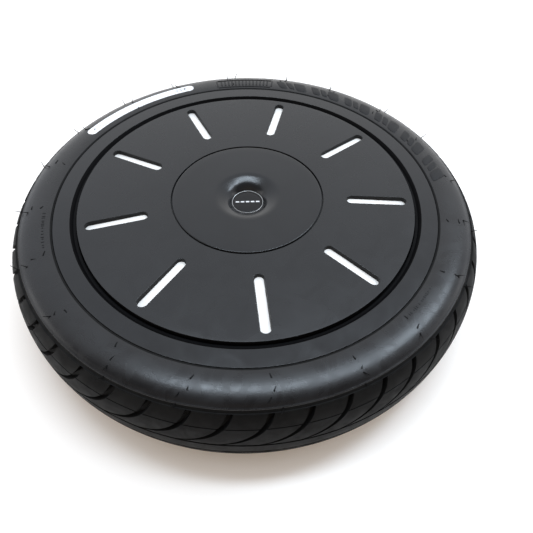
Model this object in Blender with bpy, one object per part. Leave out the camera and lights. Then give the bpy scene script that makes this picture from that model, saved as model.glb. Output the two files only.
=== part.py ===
"""Hub motor wheel: a tyred wheel with a gearless motor built into its hub.

The wheel's axis is Z.  The closed, slotted face looks towards +Z (outboard) and
the face that is bolted to the vehicle looks towards -Z (inboard).  The origin is
the middle of the wheel.  Two empties group the pieces: what stands still with the
axle, and what turns.  The ball sets of the two bearings orbit on their own.
"""

import math

import bmesh
import bpy
from mathutils import Matrix, Vector

MM = 0.001

# Clearance kept between neighbouring pieces.
GAP = 0.3 * MM

# Facets round each class of turned piece.
WHEEL_SEGMENTS = 36
HUB_SEGMENTS = 20
SMALL_SEGMENTS = 12

# Tyre.
TYRE_RADIUS = 241.0 * MM
TYRE_HALF_WIDTH = 48.9 * MM
LABEL_THICKNESS = 0.3 * MM
OUTBOARD_WALL = TYRE_HALF_WIDTH - LABEL_THICKNESS - GAP
CROWN_CENTRE = 215.2 * MM
CROWN_STEPS = 8
LINER_RADIUS = 232.5 * MM
LINER_HALF_WIDTH = 43.2 * MM
LINER_STEPS = 4

# Rim: flanges, bead seats and drop centre.
FLANGE_RADIUS = 193.0 * MM
FLANGE_FACE = 46.9 * MM
FLANGE_INSIDE = 41.9 * MM
FLANGE_OPENING = 177.3 * MM
BEAD_SEAT = 177.9 * MM
WELL_RADIUS = 164.0 * MM
WELL_WALL = 5.5 * MM
WEB_BOTTOM = 0.0
WEB_TOP = 9.0 * MM
WINDOW_COUNT = 9

# Motor housing ring inside the rim.
HOUSING_INNER = 118.5 * MM
HOUSING_OUTER = 132.0 * MM
HOUSING_HALF = 31.0 * MM
SPIGOT_RADIUS = 117.8 * MM
COVER_SCREW_CIRCLE = 125.2 * MM
COVER_SCREW_COUNT = 6
COVER_FACE = 36.3 * MM

# Slotted face cover, its white insert and the middle cover.
FACE_EDGE = 46.6 * MM
FACE_RADIUS = 170.6 * MM
MIDDLE_RADIUS = 78.3 * MM
MIDDLE_FACE = 45.2 * MM
SLOT_COUNT = 9
SLOT_FIRST_ANGLE = math.radians(-5.7)
SLOT_START = 102.6 * MM
SLOT_END = 163.7 * MM
SLOT_WIDTH = 10.4 * MM
INSERT_TOP = 41.8 * MM
DIMPLE_RADIUS = 36.0 * MM
DIMPLE_RIM = MIDDLE_FACE - 0.3 * MM
DIMPLE_FLOOR = 35.2 * MM
DIMPLE_POWER = 2.4
BADGE_RADIUS = 16.6 * MM
BADGE_FACE = 35.1 * MM

# Paper label on the sidewall.
LABEL_INNER = 201.6 * MM
LABEL_OUTER = 213.0 * MM
LABEL_FROM = math.radians(108.4)
LABEL_TO = math.radians(150.3)

# Tyre valve.
VALVE_ANGLE = math.radians(253.0)
VALVE_HEIGHT = -10.0 * MM
VALVE_HOLE = 5.9 * MM

# Motor: stator, winding, magnets.
TOOTH_COUNT = 27
STATOR_OUTER = 105.8 * MM
STATOR_INNER = 82.0 * MM
STATOR_HALF = 19.0 * MM
SLOT_FLOOR = 86.5 * MM
SLOT_SHOULDER = 102.2 * MM
SLOT_LIP = 103.0 * MM
WINDING_INNER = 87.2 * MM
WINDING_OUTER = 101.5 * MM
WINDING_HALF = 29.0 * MM
MAGNET_COUNT = 30
MAGNET_INNER = 106.6 * MM
MAGNET_GROOVE = 108.0 * MM
MAGNET_OUTER = 109.5 * MM
MAGNET_HALF = 20.0 * MM
RING_INNER = 110.2 * MM
RING_OUTER = 118.2 * MM
RING_HALF = 22.0 * MM

# Axle.
AXLE_FACE = -44.0 * MM
AXLE_FLANGE_RADIUS = 42.0 * MM
AXLE_FLANGE_BACK = -36.5 * MM
AXLE_BOLT_CIRCLE = 33.0 * MM
AXLE_BOLT_RADIUS = 4.25 * MM
AXLE_BOLT_COUNT = 4
CABLE_BORE = 9.0 * MM
GLAND_POCKET = 11.5 * MM
GLAND_POCKET_DEPTH = 2.5 * MM
HUB_SEAT = 18.0 * MM
HUB_SHOULDER = -5.0 * MM
OUTBOARD_SEAT = 12.2 * MM
INBOARD_SEAT = 19.7 * MM
KEY_WIDTH = 6.0 * MM

# Bearings: height of the middle, radius of the ball circle, bore and outside.
BEARING_HALF = 7.5 * MM
BALL_RADIUS = 3.2 * MM
OUTBOARD_BEARING = {"height": 12.5 * MM, "circle": 19.5 * MM, "bore": 12.5 * MM, "outside": 26.0 * MM}
INBOARD_BEARING = {"height": -23.2 * MM, "circle": 27.0 * MM, "bore": 20.0 * MM, "outside": 34.0 * MM}
OUTBOARD_BALLS = 7
INBOARD_BALLS = 9


# ---------------------------------------------------------------- helpers


def clear_scene():
    """Remove every object that the scene starts with."""
    for item in list(bpy.data.objects):
        bpy.data.objects.remove(item, do_unlink=True)


def material(name, colour, roughness, metallic):
    """One Principled material."""
    made = bpy.data.materials.new(name)
    made.use_nodes = True
    shader = made.node_tree.nodes["Principled BSDF"]
    shader.inputs["Base Color"].default_value = (*colour, 1.0)
    shader.inputs["Roughness"].default_value = roughness
    shader.inputs["Metallic"].default_value = metallic
    made.diffuse_color = (*colour, 1.0)
    return made


def empty(name):
    """An empty at the origin, on the wheel's axis."""
    made = bpy.data.objects.new(name, None)
    bpy.context.scene.collection.objects.link(made)
    return made


def mm(points):
    """Points given in millimetres, as metres."""
    return [tuple(value * MM for value in point) for point in points]


def polar(radius, angle, height=0.0):
    """A point from its radius, angle and height."""
    return Vector((radius * math.cos(angle), radius * math.sin(angle), height))


def place(name, bm, finish, parent=None, sharp=35.0):
    """Turn a bmesh into a named object with outward normals and smooth shading."""
    bmesh.ops.remove_doubles(bm, verts=bm.verts, dist=1e-6)
    bmesh.ops.recalc_face_normals(bm, faces=bm.faces)
    mesh = bpy.data.meshes.new(name)
    bm.to_mesh(mesh)
    bm.free()
    mesh.shade_smooth()
    mesh.set_sharp_from_angle(angle=math.radians(sharp))
    made = bpy.data.objects.new(name, mesh)
    bpy.context.scene.collection.objects.link(made)
    made.data.materials.append(finish)
    made.parent = parent
    return made


def spin_profile(bm, profile, segments, closed):
    """Spin a profile of (radius, height) points a full turn about Z."""
    corners = [bm.verts.new((radius, 0.0, height)) for radius, height in profile]
    edges = [bm.edges.new(pair) for pair in zip(corners, corners[1:])]
    if closed:
        edges.append(bm.edges.new((corners[-1], corners[0])))
    bmesh.ops.spin(
        bm,
        geom=corners + edges,
        axis=(0.0, 0.0, 1.0),
        cent=(0.0, 0.0, 0.0),
        angle=math.tau,
        steps=segments,
        use_merge=True,
    )


def turned(name, profile, segments, finish, parent=None):
    """A turned ring whose profile closes on itself."""
    bm = bmesh.new()
    spin_profile(bm, profile, segments, closed=True)
    return place(name, bm, finish, parent)


def turned_solid(name, profile, segments, finish, parent=None):
    """A turned piece whose profile starts and ends on the axis."""
    bm = bmesh.new()
    spin_profile(bm, profile, segments, closed=False)
    return place(name, bm, finish, parent)


def add_prism(bm, outline, bottom, top):
    """Extrude a flat outline of (x, y) points from one height to another."""
    corners = [bm.verts.new((point[0], point[1], bottom)) for point in outline]
    face = bm.faces.new(corners)
    grown = bmesh.ops.extrude_face_region(bm, geom=[face])
    lifted = [item for item in grown["geom"] if isinstance(item, bmesh.types.BMVert)]
    bmesh.ops.translate(bm, verts=lifted, vec=(0.0, 0.0, top - bottom))


def circle(radius, segments, centre=(0.0, 0.0)):
    """Corners of a regular polygon."""
    steps = [math.tau * step / segments for step in range(segments)]
    return [(centre[0] + radius * math.cos(a), centre[1] + radius * math.sin(a)) for a in steps]


def around(count, first=0.0):
    """Equal angles round the axis."""
    return [first + math.tau * step / count for step in range(count)]


def facing_pair(outer, inner, bottom, top):
    """A bmesh ring between two outlines with the same number of points."""
    bm = bmesh.new()
    loops = []
    for outline, height in ((outer, bottom), (outer, top), (inner, top), (inner, bottom)):
        loops.append([bm.verts.new((point[0], point[1], height)) for point in outline])
    count = len(outer)
    for first, second in zip(loops, loops[1:] + loops[:1]):
        for step in range(count):
            after = (step + 1) % count
            bm.faces.new((first[step], first[after], second[after], second[step]))
    return bm


def helper(name, bm):
    """A hidden object that only serves a Boolean."""
    bmesh.ops.recalc_face_normals(bm, faces=bm.faces)
    mesh = bpy.data.meshes.new(name)
    bm.to_mesh(mesh)
    bm.free()
    made = bpy.data.objects.new(name, mesh)
    bpy.context.scene.collection.objects.link(made)
    made.hide_render = True
    made.display_type = "WIRE"
    return made


def combine(target, tool, operation):
    """Add one Boolean to a piece."""
    step = target.modifiers.new(tool.name, "BOOLEAN")
    step.operation = operation
    step.solver = "EXACT"
    step.object = tool


def drill(target, name, centres, radius, bottom, top, segments=SMALL_SEGMENTS):
    """Cut upright round holes at (x, y) centres."""
    bm = bmesh.new()
    for centre in centres:
        add_prism(bm, circle(radius, segments, centre), bottom, top)
    combine(target, helper(name, bm), "DIFFERENCE")


def rounded_slot(start, end, width, angle, steps=3):
    """Outline of a radial slot with round ends."""
    half = width / 2.0
    points = []
    for step in range(steps + 1):
        turn = -math.pi / 2.0 + math.pi * step / steps
        points.append((end - half + half * math.cos(turn), half * math.sin(turn)))
    for step in range(steps + 1):
        turn = math.pi / 2.0 + math.pi * step / steps
        points.append((start + half + half * math.cos(turn), half * math.sin(turn)))
    turned_by = Matrix.Rotation(angle, 2)
    return [tuple(turned_by @ Vector(point)) for point in points]


def arc_band(inner, outer, start, stop, steps):
    """Outline of a band that follows an arc, with its four corners taken off."""
    cut = 3.0 * MM
    nearer = cut / inner
    points = [polar(outer, start + (stop - start) * step / steps).xy for step in range(1, steps)]
    points.append(polar(outer, stop - nearer).xy)
    points.append(polar(outer - cut, stop).xy)
    points.append(polar(inner + cut, stop).xy)
    points.append(polar(inner, stop - nearer).xy)
    points += [polar(inner, stop - (stop - start) * step / steps).xy for step in range(1, steps)]
    points.append(polar(inner, start + nearer).xy)
    points.append(polar(inner + cut, start).xy)
    points.append(polar(outer - cut, start).xy)
    points.append(polar(outer, start + nearer).xy)
    return points


# ---------------------------------------------------------------- tyre and rim


def half_ellipse(centre, radial, half_width, top, steps):
    """Profile points over the crown, from the outboard side to the inboard side."""
    points = []
    for step in range(steps + 1):
        turn = math.pi / 2.0 - math.pi * step / steps
        height = (top if turn > 0.0 else half_width) * math.sin(turn)
        points.append((centre + radial * math.cos(turn), height))
    return points


def make_tyre(finish, parent):
    """Tubeless tyre: tread, two sidewalls and two beads, open towards the rim."""
    wall_foot = FLANGE_RADIUS + 0.5 * MM
    bead_inner = BEAD_SEAT + GAP
    bead_side = FLANGE_INSIDE - 0.4 * MM
    crown_reach = TYRE_RADIUS - CROWN_CENTRE
    liner_reach = LINER_RADIUS - CROWN_CENTRE
    crown = half_ellipse(CROWN_CENTRE, crown_reach, TYRE_HALF_WIDTH, OUTBOARD_WALL, CROWN_STEPS)
    liner = half_ellipse(CROWN_CENTRE, liner_reach, LINER_HALF_WIDTH, LINER_HALF_WIDTH, LINER_STEPS)
    upper = [
        (bead_inner, 24.0 * MM),
        (bead_inner, 39.5 * MM),
        (180.6 * MM, bead_side),
        (wall_foot, bead_side),
        (wall_foot, 47.0 * MM),
        (204.0 * MM, OUTBOARD_WALL),
    ]
    lower = [
        (204.0 * MM, -TYRE_HALF_WIDTH),
        (wall_foot, -47.4 * MM),
        (wall_foot, -bead_side),
        (180.6 * MM, -bead_side),
        (bead_inner, -39.5 * MM),
        (bead_inner, -24.0 * MM),
    ]
    inside_lower = mm([(185.0, -23.5), (193.5, -36.0), (203.0, -42.4)])
    inside_upper = [(radius, -height) for radius, height in reversed(inside_lower)]
    profile = upper + crown + lower + inside_lower + list(reversed(liner)) + inside_upper
    return turned("tyre", profile, WHEEL_SEGMENTS, finish, parent)


def rim_profile():
    """Rim, web and motor housing as one casting."""
    well_inner = WELL_RADIUS - WELL_WALL
    tyre_side = [
        (FLANGE_OPENING, FLANGE_FACE),
        (192.4 * MM, FLANGE_FACE),
        (FLANGE_RADIUS, 46.3 * MM),
        (FLANGE_RADIUS, FLANGE_INSIDE),
        (180.3 * MM, FLANGE_INSIDE),
        (BEAD_SEAT, 39.9 * MM),
        (177.4 * MM, 25.0 * MM),
        (WELL_RADIUS, 18.5 * MM),
        (WELL_RADIUS, -20.0 * MM),
        (177.4 * MM, -25.5 * MM),
        (BEAD_SEAT, -39.9 * MM),
        (180.3 * MM, -FLANGE_INSIDE),
        (FLANGE_RADIUS, -FLANGE_INSIDE),
        (FLANGE_RADIUS, -46.3 * MM),
        (192.4 * MM, -FLANGE_FACE),
        (FLANGE_OPENING, -FLANGE_FACE),
    ]
    inner_side = [
        (172.6 * MM, -42.0 * MM),
        (171.8 * MM, -28.5 * MM),
        (well_inner, -19.5 * MM),
        (well_inner, WEB_BOTTOM),
        (HOUSING_OUTER, WEB_BOTTOM),
        (HOUSING_OUTER, -HOUSING_HALF),
        (HOUSING_INNER, -HOUSING_HALF),
        (HOUSING_INNER, HOUSING_HALF),
        (HOUSING_OUTER, HOUSING_HALF),
        (HOUSING_OUTER, WEB_TOP),
        (well_inner, WEB_TOP),
        (well_inner, 16.5 * MM),
        (171.2 * MM, 26.5 * MM),
        (167.2 * MM, 33.5 * MM),
        (167.2 * MM, 36.7 * MM),
        (171.9 * MM, 36.7 * MM),
        (171.9 * MM, 42.4 * MM),
        (174.6 * MM, 43.0 * MM),
    ]
    return tyre_side + inner_side


def window_outline(middle):
    """Outline of one opening in the web between rim and motor housing."""
    inner, outer, half = 137.0 * MM, 154.0 * MM, math.radians(12.0)
    bend = math.radians(2.0)
    angles_out = [-half + bend, 0.0, half - bend]
    points = [polar(outer, middle + angle).xy for angle in angles_out]
    points.append(polar(outer - 4.0 * MM, middle + half).xy)
    points.append(polar(inner + 4.0 * MM, middle + half).xy)
    points += [polar(inner, middle + angle).xy for angle in reversed(angles_out)]
    points.append(polar(inner + 4.0 * MM, middle - half).xy)
    points.append(polar(outer - 4.0 * MM, middle - half).xy)
    return points


def screw_centres():
    """Centres of the motor cover screws."""
    return [polar(COVER_SCREW_CIRCLE, angle).xy for angle in around(COVER_SCREW_COUNT, math.radians(15.0))]


def make_rim(finish, parent):
    """Cast rim with web windows, tapped screw holes and the valve hole."""
    rim = turned("wheel_rim", rim_profile(), WHEEL_SEGMENTS, finish, parent)
    windows = bmesh.new()
    for angle in around(WINDOW_COUNT, math.radians(13.0)):
        add_prism(windows, window_outline(angle), WEB_BOTTOM - 1.0 * MM, WEB_TOP + 1.0 * MM)
    combine(rim, helper("window_cutter", windows), "DIFFERENCE")
    tapped_radius, tapped_depth = 2.7 * MM, 12.5 * MM
    for side, name in ((1.0, "outboard_tap_cutter"), (-1.0, "inboard_tap_cutter")):
        ends = sorted((side * (HOUSING_HALF - tapped_depth), side * (HOUSING_HALF + 1.0 * MM)))
        drill(rim, name, screw_centres(), tapped_radius, ends[0], ends[1], segments=6)
    valve_hole = bmesh.new()
    add_prism(valve_hole, circle(VALVE_HOLE, SMALL_SEGMENTS), -8.0 * MM, 14.0 * MM)
    cutter = helper("valve_hole_cutter", valve_hole)
    stand_on_valve_axis(cutter)
    combine(rim, cutter, "DIFFERENCE")
    return rim


def stand_on_valve_axis(piece):
    """Put a piece on the rim's drop centre with its +Z pointing at the wheel's axis."""
    piece.location = polar(WELL_RADIUS, VALVE_ANGLE, VALVE_HEIGHT)
    piece.rotation_euler = (0.0, -math.pi / 2.0, VALVE_ANGLE)


def make_valve(rubber, plastic, parent):
    """Snap-in valve and its cap, pointing at the axle on the inboard side."""
    stem_profile = mm(
        [(0.0, -3.4), (7.4, -3.4), (8.4, -2.4), (8.4, -0.4), (5.5, -0.4), (5.5, 6.3), (7.0, 6.3),
         (6.6, 9.0), (4.6, 14.0), (3.9, 15.0), (3.9, 24.0), (0.0, 24.0)]
    )
    cap_profile = mm(
        [(0.0, 24.6), (4.3, 24.6), (4.3, 18.6), (5.2, 18.6), (5.2, 25.6), (4.4, 26.6), (0.0, 26.6)]
    )
    stem = turned_solid("valve_stem", stem_profile, SMALL_SEGMENTS, rubber, parent)
    cap = turned_solid("valve_cap", cap_profile, SMALL_SEGMENTS, plastic, parent)
    for piece in (stem, cap):
        stand_on_valve_axis(piece)


def make_label(finish, parent):
    """Paper label lying on the outboard sidewall."""
    bm = bmesh.new()
    outline = arc_band(LABEL_INNER, LABEL_OUTER, LABEL_FROM, LABEL_TO, steps=8)
    add_prism(bm, outline, TYRE_HALF_WIDTH - LABEL_THICKNESS, TYRE_HALF_WIDTH)
    return place("tyre_label", bm, finish, parent)


# ---------------------------------------------------------------- face covers


def make_slotted_cover(finish, parent):
    """Face cover with radial slots, an edge skirt and a seat for the middle cover."""
    seat_inner, under = 70.0 * MM, INSERT_TOP + GAP
    profile = [
        (169.6 * MM, FACE_EDGE),
        (FACE_RADIUS, FACE_EDGE - 1.0 * MM),
        (FACE_RADIUS, 37.0 * MM),
        (168.2 * MM, 37.0 * MM),
        (168.2 * MM, under),
        (94.0 * MM, under),
        (93.0 * MM, 40.4 * MM),
        (seat_inner, 40.4 * MM),
        (seat_inner, 42.9 * MM),
        (MIDDLE_RADIUS + GAP, 42.9 * MM),
        (MIDDLE_RADIUS + GAP, MIDDLE_FACE),
    ]
    cover = turned("slotted_cover", profile, WHEEL_SEGMENTS, finish, parent)
    slots = bmesh.new()
    for angle in around(SLOT_COUNT, SLOT_FIRST_ANGLE):
        outline = rounded_slot(SLOT_START, SLOT_END, SLOT_WIDTH, angle)
        add_prism(slots, outline, under - 2.0 * MM, FACE_EDGE + 2.0 * MM)
    combine(cover, helper("slot_cutter", slots), "DIFFERENCE")
    return cover


def make_insert(finish, parent):
    """White ring that shows through the slots."""
    thickness = 2.0 * MM
    profile = [
        (167.0 * MM, INSERT_TOP),
        (167.0 * MM, INSERT_TOP - thickness),
        (96.0 * MM, INSERT_TOP - thickness),
        (96.0 * MM, INSERT_TOP),
    ]
    return turned("slot_insert_ring", profile, WHEEL_SEGMENTS, finish, parent)


def dimple_height(radius):
    """Height of the dimple's wall at a radius."""
    inner = BADGE_RADIUS + GAP
    part = (radius - inner) / (DIMPLE_RADIUS - inner)
    return DIMPLE_RIM - (DIMPLE_RIM - DIMPLE_FLOOR) * (1.0 - part) ** DIMPLE_POWER


def make_middle_cover(finish, parent):
    """Dished middle cover that snaps into the slotted cover."""
    floor = 33.6 * MM
    steps = 5
    pocket = BADGE_RADIUS + GAP
    wall = []
    for step in range(steps + 1):
        radius = pocket + (DIMPLE_RADIUS - pocket) * step / steps
        wall.append((radius, dimple_height(radius)))
    underside = mm(
        [(77.9, 43.3), (69.5, 43.3), (69.5, 39.6), (67.4, 39.6), (67.4, 43.0), (40.0, 42.9),
         (31.0, 40.6), (23.0, 34.2), (18.5, 31.6), (0.0, 31.4)]
    )
    edge = [(77.3 * MM, MIDDLE_FACE), (77.9 * MM, MIDDLE_FACE - 0.6 * MM)]
    profile = [(0.0, floor), (pocket, floor)] + wall + edge
    return turned_solid("centre_cover", profile + underside, HUB_SEGMENTS, finish, parent)


def make_badge(disc_finish, ring_finish, parent):
    """Plain round badge and the bright ring round it."""
    foot = 33.9 * MM
    inner = 15.4 * MM
    disc = [
        (0.0, foot),
        (inner - GAP, foot),
        (inner - GAP, BADGE_FACE - 0.2 * MM),
        (inner - 0.8 * MM, BADGE_FACE),
        (0.0, BADGE_FACE),
    ]
    ring = [
        (inner, foot),
        (BADGE_RADIUS, foot),
        (BADGE_RADIUS, BADGE_FACE),
        (inner + 0.6 * MM, BADGE_FACE + 0.3 * MM),
        (inner, BADGE_FACE),
    ]
    turned_solid("badge", disc, HUB_SEGMENTS, disc_finish, parent)
    turned("badge_ring", ring, HUB_SEGMENTS, ring_finish, parent)


# ---------------------------------------------------------------- motor, turning side


def make_outboard_motor_cover(finish, parent):
    """Closed end cover that carries the outboard bearing."""
    bearing = OUTBOARD_BEARING
    bore = bearing["outside"] + GAP
    lower = bearing["height"] - BEARING_HALF
    upper = bearing["height"] + BEARING_HALF + GAP
    profile = [
        (0.0, 31.0 * MM),
        (38.0 * MM, 31.0 * MM),
        (45.0 * MM, COVER_FACE),
        (130.7 * MM, COVER_FACE),
        (131.7 * MM, 35.3 * MM),
        (131.7 * MM, HOUSING_HALF + GAP),
        (SPIGOT_RADIUS, HOUSING_HALF + GAP),
        (SPIGOT_RADIUS, 27.5 * MM),
        (114.5 * MM, 27.5 * MM),
        (113.0 * MM, 31.5 * MM),
        (50.0 * MM, 31.5 * MM),
        (33.5 * MM, 24.0 * MM),
        (33.5 * MM, lower),
        (bore, lower),
        (bore, upper),
        (23.0 * MM, upper),
        (23.0 * MM, 28.4 * MM),
        (0.0, 28.4 * MM),
    ]
    cover = turned_solid("outboard_motor_cover", profile, HUB_SEGMENTS, finish, parent)
    drill(cover, "outboard_cover_hole_cutter", screw_centres(), 2.9 * MM, 26.0 * MM, 38.0 * MM, segments=6)
    return cover


def make_inboard_motor_cover(finish, parent):
    """End cover with the inboard bearing, the oil seal and the axle through it."""
    bearing = INBOARD_BEARING
    bore = bearing["outside"] + GAP
    seal_bore = 33.0 * MM
    step_height = bearing["height"] - BEARING_HALF - 0.5 * MM
    mouth = bearing["height"] + BEARING_HALF + GAP
    profile = [
        (seal_bore, -35.4 * MM),
        (seal_bore, step_height),
        (bore, step_height),
        (bore, mouth),
        (40.5 * MM, mouth),
        (42.0 * MM, -31.0 * MM),
        (113.0 * MM, -31.5 * MM),
        (114.5 * MM, -27.5 * MM),
        (SPIGOT_RADIUS, -27.5 * MM),
        (SPIGOT_RADIUS, -HOUSING_HALF - GAP),
        (131.7 * MM, -HOUSING_HALF - GAP),
        (131.7 * MM, -35.3 * MM),
        (130.7 * MM, -COVER_FACE),
        (52.0 * MM, -COVER_FACE),
        (48.0 * MM, -35.4 * MM),
    ]
    cover = turned("inboard_motor_cover", profile, HUB_SEGMENTS, finish, parent)
    drill(cover, "inboard_cover_hole_cutter", screw_centres(), 2.9 * MM, -38.0 * MM, -26.0 * MM, segments=6)
    return cover


def hexagon_screw_mesh(finish):
    """M5 hexagon screw: its head stands on z = 0 and its shank points down."""
    head, head_height, shank, length = 4.6 * MM, 2.4 * MM, 2.3 * MM, 15.5 * MM
    profile = [
        (0.0, head_height),
        (head, head_height),
        (head, 0.0),
        (shank, 0.0),
        (shank, -length),
        (0.0, -length),
    ]
    bm = bmesh.new()
    spin_profile(bm, profile, 6, closed=False)
    pattern = place("screw_pattern", bm, finish)
    mesh = pattern.data
    bpy.data.objects.remove(pattern)
    return mesh


def make_cover_screws(finish, parent):
    """Six hexagon screws in each motor cover."""
    mesh = hexagon_screw_mesh(finish)
    for index, centre in enumerate(screw_centres(), start=1):
        for side, turn in (("outboard", 0.0), ("inboard", math.pi)):
            screw = bpy.data.objects.new(f"{side}_cover_screw_{index}", mesh)
            bpy.context.scene.collection.objects.link(screw)
            seat = COVER_FACE + GAP
            screw.location = (centre[0], centre[1], seat if side == "outboard" else -seat)
            screw.rotation_euler = (turn, 0.0, 0.0)
            screw.parent = parent


def make_rotor_ring(finish, parent):
    """Steel ring that closes the magnets' flux."""
    profile = [
        (RING_OUTER, RING_HALF),
        (RING_OUTER, -RING_HALF),
        (RING_INNER, -RING_HALF),
        (RING_INNER, RING_HALF),
    ]
    return turned("rotor_ring", profile, WHEEL_SEGMENTS, finish, parent)


def make_magnets(finish, parent):
    """Bonded ring of magnets with a groove between neighbours."""
    pitch = math.tau / MAGNET_COUNT
    half = math.radians(5.2)
    groove = math.radians(5.5)
    inner, outer = [], []
    for middle in around(MAGNET_COUNT):
        steps = (
            (middle - half, MAGNET_INNER),
            (middle + half, MAGNET_INNER),
            (middle + groove, MAGNET_GROOVE),
            (middle + pitch - groove, MAGNET_GROOVE),
        )
        for angle, radius in steps:
            inner.append(polar(radius, angle).xy)
            outer.append(polar(MAGNET_OUTER, angle).xy)
    return place("magnet_ring", facing_pair(outer, inner, -MAGNET_HALF, MAGNET_HALF), finish, parent)


# ---------------------------------------------------------------- motor, standing side


def slot_span():
    """Angles of a stator slot's two walls, from the middle of the tooth before it."""
    pitch = math.tau / TOOTH_COUNT
    wall = math.radians(3.2)
    return wall, pitch - wall


def make_stator_core(finish, parent):
    """Laminated stator: a ring with a tooth between each two slots."""
    profile = [
        (STATOR_OUTER, STATOR_HALF),
        (STATOR_OUTER, -STATOR_HALF),
        (STATOR_INNER, -STATOR_HALF),
        (STATOR_INNER, STATOR_HALF),
    ]
    core = turned("stator_core", profile, 2 * TOOTH_COUNT, finish, parent)
    first, last = slot_span()
    pitch = first + last
    mouth = math.radians(0.85)
    past = STATOR_OUTER + 2.0 * MM
    slots = bmesh.new()
    for tooth in around(TOOTH_COUNT):
        corners = (
            (SLOT_FLOOR, first),
            (SLOT_FLOOR, last),
            (SLOT_SHOULDER, last),
            (SLOT_LIP, pitch / 2.0 + mouth),
            (past, pitch / 2.0 + mouth),
            (past, pitch / 2.0 - mouth),
            (SLOT_LIP, pitch / 2.0 - mouth),
            (SLOT_SHOULDER, first),
        )
        outline = [polar(radius, tooth + angle).xy for radius, angle in corners]
        add_prism(slots, outline, -STATOR_HALF - 1.0 * MM, STATOR_HALF + 1.0 * MM)
    combine(core, helper("stator_slot_cutter", slots), "DIFFERENCE")
    return core


def make_winding(finish, parent):
    """Copper winding: two end rings joined by the wires in every slot."""
    first, last = slot_span()
    clear = math.radians(0.3)
    angles = []
    for tooth in around(TOOTH_COUNT):
        angles += [tooth + first + clear, tooth + last - clear]
    levels = (WINDING_HALF, STATOR_HALF + GAP, -STATOR_HALF - GAP, -WINDING_HALF)
    bm = bmesh.new()
    grid = {}
    for spot, angle in enumerate(angles):
        for level, height in enumerate(levels):
            grid[spot, level, "in"] = bm.verts.new(polar(WINDING_INNER, angle, height))
            grid[spot, level, "out"] = bm.verts.new(polar(WINDING_OUTER, angle, height))
    count = len(angles)
    for spot in range(count):
        after = (spot + 1) % count
        in_slot = spot % 2 == 0
        for side in ("in", "out"):
            for level in (0, 1, 2) if in_slot else (0, 2):
                below = level + 1
                bm.faces.new((grid[spot, level, side], grid[after, level, side],
                              grid[after, below, side], grid[spot, below, side]))
        for level in (0, 3) if in_slot else (0, 1, 2, 3):
            bm.faces.new((grid[spot, level, "in"], grid[after, level, "in"],
                          grid[after, level, "out"], grid[spot, level, "out"]))
        bm.faces.new((grid[spot, 1, "in"], grid[spot, 2, "in"], grid[spot, 2, "out"], grid[spot, 1, "out"]))
    return place("winding", bm, finish, parent)


def make_stator_hub(finish, parent):
    """Carrier that holds the stator on the axle."""
    bore = HUB_SEAT + GAP
    rim = STATOR_INNER - GAP
    profile = [
        (bore, 4.0 * MM),
        (30.0 * MM, 4.0 * MM),
        (32.0 * MM, 3.0 * MM),
        (73.0 * MM, 3.0 * MM),
        (76.0 * MM, 15.0 * MM),
        (rim, 15.0 * MM),
        (rim, -15.0 * MM),
        (76.0 * MM, -15.0 * MM),
        (73.0 * MM, -3.5 * MM),
        (32.0 * MM, -3.5 * MM),
        (30.0 * MM, HUB_SHOULDER + GAP),
        (bore, HUB_SHOULDER + GAP),
    ]
    hub = turned("stator_hub", profile, HUB_SEGMENTS, finish, parent)
    centres = [polar(53.0 * MM, angle).xy for angle in around(6, math.radians(30.0))]
    drill(hub, "stator_hub_hole_cutter", centres, 11.0 * MM, -6.0 * MM, 6.0 * MM, segments=8)
    keyway = bmesh.new()
    half = KEY_WIDTH / 2.0 + GAP
    sides = [(-half, 15.0 * MM), (half, 15.0 * MM), (half, 21.2 * MM), (-half, 21.2 * MM)]
    add_prism(keyway, sides, -8.0 * MM, 8.0 * MM)
    combine(hub, helper("hub_keyway_cutter", keyway), "DIFFERENCE")
    return hub


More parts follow.
